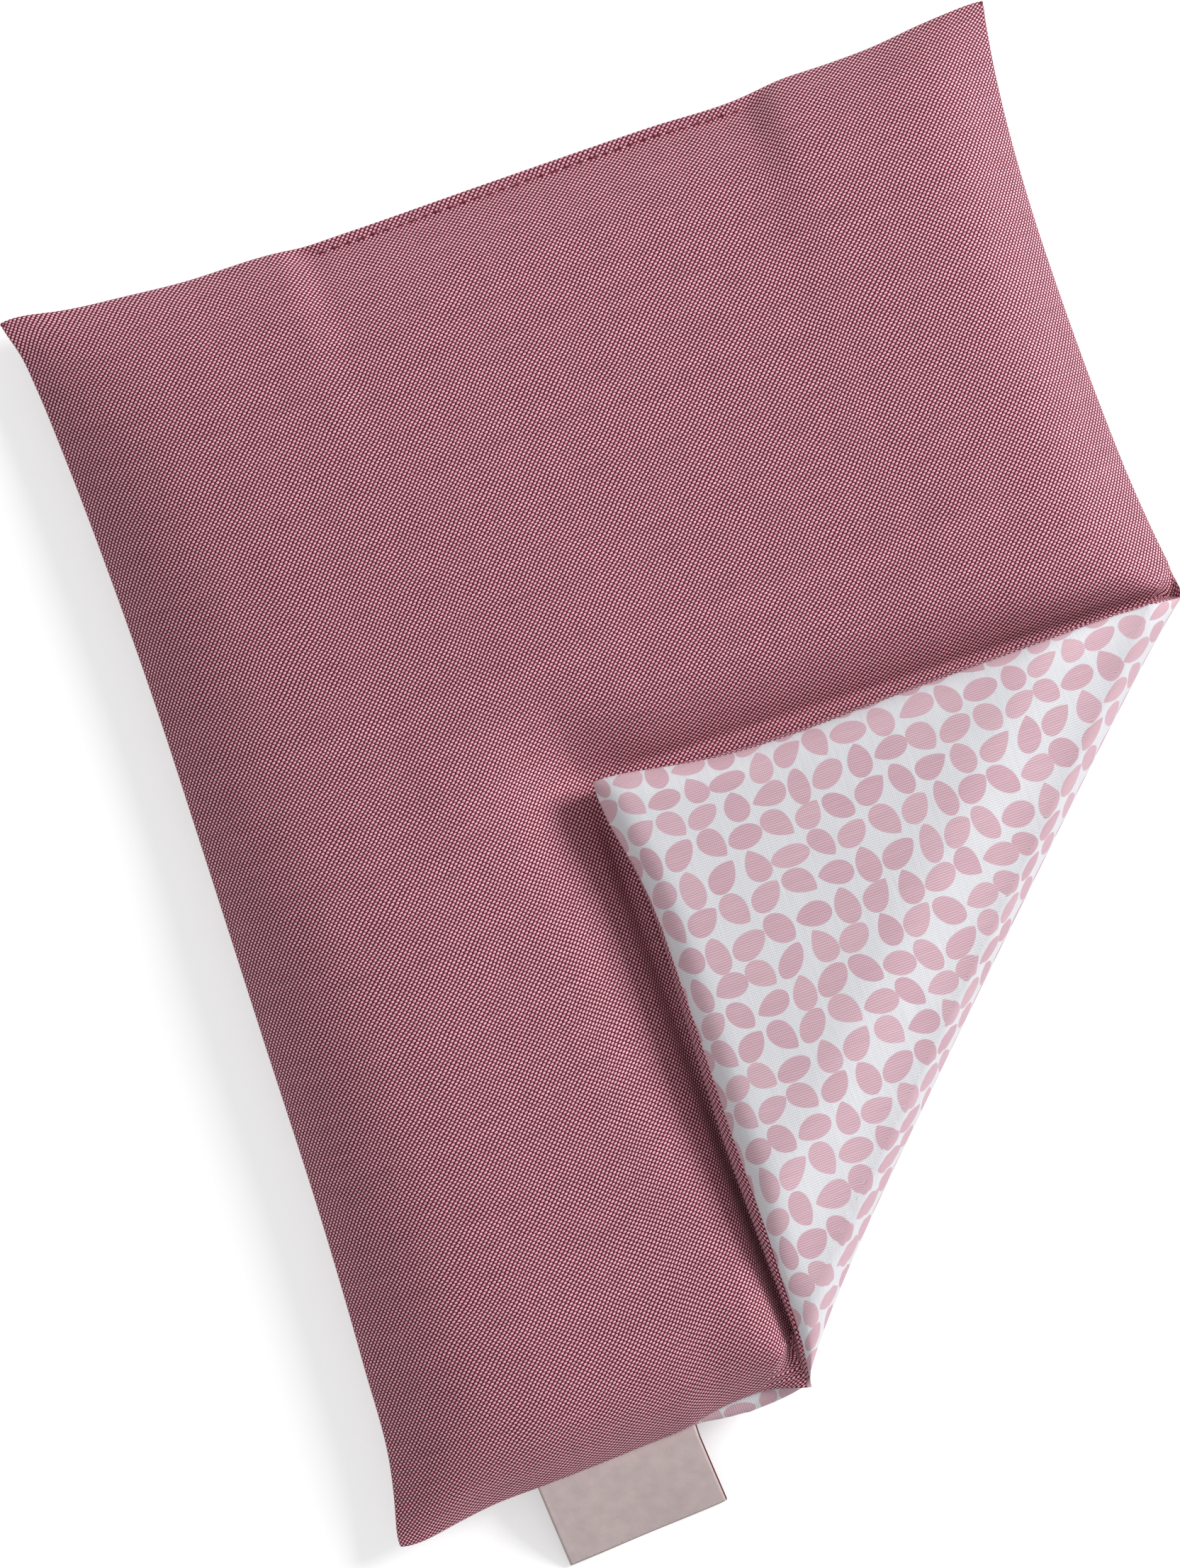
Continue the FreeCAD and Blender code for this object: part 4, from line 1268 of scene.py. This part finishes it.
def stitched(path):
    """A seam's thread: along the path, dipping at every stitch hole."""
    run = run_along(path)
    at = np.arange(SEAM_START, run[-1] - SEAM_START, STITCH_PITCH / PATH_STEPS)
    points = np.column_stack([np.interp(at, run, path[:, i]) for i in range(3)])
    ahead = np.gradient(points, axis=0)
    inwards = np.column_stack((ahead[:, 1], -ahead[:, 0], 0 * at))
    inwards /= np.linalg.norm(inwards, axis=1)[:, None]
    if ((points.mean(axis=0) - points) * inwards).sum() < 0:
        inwards = -inwards
    dip = SEAM_DIP + STITCH_DIP * np.cos(2 * np.pi * at / STITCH_PITCH)
    return points + inwards * dip[:, None]


def lip_row(height, sign):
    """The stitches of one side. They are pulled in unevenly, every other one more."""
    paths = []
    uneven = np.random.default_rng(5)
    for i in range(STITCHES):
        start = LIP_ENDS[0] + STITCH_PITCH * i + (STITCH_PITCH - STITCH_LENGTH) / 2
        x = np.linspace(start - STITCH_OVER, start + STITCH_LENGTH + STITCH_OVER,
                        STITCH_POINTS)
        off = x - x.mean()
        aside, lean, sunk = uneven.uniform(*UNEVEN)
        y = through(TOP_EDGE, x) - STITCH_ROW + aside + lean * off
        lift = np.interp(np.abs(off), *STITCH_RISE) - sunk - EVERY_OTHER * (i % 2)
        paths.append(np.column_stack((x, y, height(x, y) + sign * lift)))
    return paths


pillow_seam = seam_path(front_cover)
# the top seam is open along the lip
lip = np.flatnonzero((pillow_seam[:, 1] > 0) & (lip_share(pillow_seam[:, 0]) > 0.5))
seam_thread = thread_piece("seam_thread", [stitched(pillow_seam[:lip[0]]),
                                           stitched(pillow_seam[lip[-1]:])])
corner_thread = thread_piece("corner_seam_thread_run",
                             [stitched(seam_path(corner_front_cover))])
lip_topstitch = thread_piece("lip_topstitch", lip_row(front_height, 1))
lip_bobbin_row = thread_piece("lip_bobbin_row", lip_row(back_height, -1))


# painted shade in the grooves between the twisted strands, and painted highlight on their
# crowns
THREAD_GROOVE_SHADE, THREAD_CROWN_HIGHLIGHT = linear(92, 16, 34), linear(150, 40, 66)
STRANDS, TWIST = 2, 2.2  # and how many strands go by in each mm
THREAD_MOTTLE, THREAD_SHADES = 60.0, (0.3, 0.7, 0.85, 1.1)
STRAND_RISE = 0.06


def twist_group():
    """Twisted thread: slanting strands with their height and tone."""
    group, given, result = node_group(
        "twisted_thread",
        (("Thread", "NodeSocketVector", None), ("Twist", "NodeSocketFloat", TWIST)),
        (("Strand", "NodeSocketFloat"), ("Tone", "NodeSocketFloat")))
    tree, thread = group, given.outputs["Thread"]
    along, around = in_mm(tree, thread)
    turn = maths(tree, "MULTIPLY_ADD", along, given.outputs["Twist"],
                 maths(tree, "MULTIPLY", around, STRANDS))
    strand = maths(tree, "ABSOLUTE", maths(tree, "SINE",
                                           maths(tree, "MULTIPLY", turn, math.pi)))
    tree.links.new(strand, result.inputs["Strand"])
    tree.links.new(noise(tree, thread, THREAD_MOTTLE, 2.0), result.inputs["Tone"])
    return group


thread_material, tree, shader, chart = cloth_material("sewing_thread")
twist = pattern(tree, twist_group(), chart)
# painted shade in the grooves between strands, painted highlight on their crowns
colour = mixed(tree, twist["Strand"], THREAD_GROOVE_SHADE, THREAD_CROWN_HIGHLIGHT)
colour = tinted(tree, colour, remap(tree, twist["Tone"], *THREAD_SHADES))
tree.links.new(colour, shader.inputs["Base Color"])
shader.inputs["Roughness"].default_value = 0.5
raised(tree, shader, twist["Strand"], 0.5, STRAND_RISE)

for piece, node, body in ((seam_thread, "edge_seam_thread", "pillow"),
                          (corner_thread, "corner_seam_thread", "folded_corner"),
                          (lip_topstitch, "closing_topstitch", "pillow"),
                          (lip_bobbin_row, "closing_bobbin_thread", "pillow")):
    piece.data.materials.append(thread_material)
    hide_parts(node)
    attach(piece, body)


# ---- Table and lamps: a plain pale table, a soft key lamp on the right and an
# even sky.
TABLE_SIZE = 3
TABLE_WHITE, TABLE_GLOW = (0.9, 0.9, 0.9, 1), 0.42  # the glow is only seen, and lights nothing
WHITE = (1, 1, 1, 1)
SKY_POWER = 0.45
KEY_SPOT, KEY_SIZE, KEY_POWER = Vector((2.45, 0.5, 1.5)), 1.2, 63

table = bmesh.new()
bmesh.ops.create_grid(table, x_segments=1, y_segments=1, size=TABLE_SIZE)
table_mesh = bpy.data.meshes.new("table")
table.to_mesh(table_mesh)
table.free()
floor = bpy.data.objects.new("table", table_mesh)
bpy.context.scene.collection.objects.link(floor)
floor_material = bpy.data.materials.new("table")
floor_material.use_nodes = True
tree = floor_material.node_tree
shader = tree.nodes["Principled BSDF"]
shader.inputs["Base Color"].default_value = TABLE_WHITE
shader.inputs["Roughness"].default_value = 0.9
ray = tree.nodes.new("ShaderNodeLightPath").outputs
seen = maths(tree, "MAXIMUM", ray["Is Camera Ray"],
             maths(tree, "MAXIMUM", ray["Is Glossy Ray"], ray["Is Transmission Ray"]))
shader.inputs["Emission Color"].default_value = WHITE
tree.links.new(maths(tree, "MULTIPLY", seen, TABLE_GLOW), shader.inputs["Emission Strength"])
floor.data.materials.append(floor_material)

world = bpy.data.worlds.new("sky")
world.use_nodes = True
sky = world.node_tree.nodes["Background"]
sky.inputs["Color"].default_value = WHITE
sky.inputs["Strength"].default_value = SKY_POWER
bpy.context.scene.world = world

key = bpy.data.lights.new("key", "AREA")
key.shape = "DISK"
key.size = KEY_SIZE
key.energy = KEY_POWER
key_lamp = bpy.data.objects.new("key", key)
key_lamp.location = KEY_SPOT
key_lamp.rotation_euler = (-KEY_SPOT).to_track_quat("-Z", "Y").to_euler()
bpy.context.scene.collection.objects.link(key_lamp)

bpy.context.scene.view_settings.view_transform = "Standard"
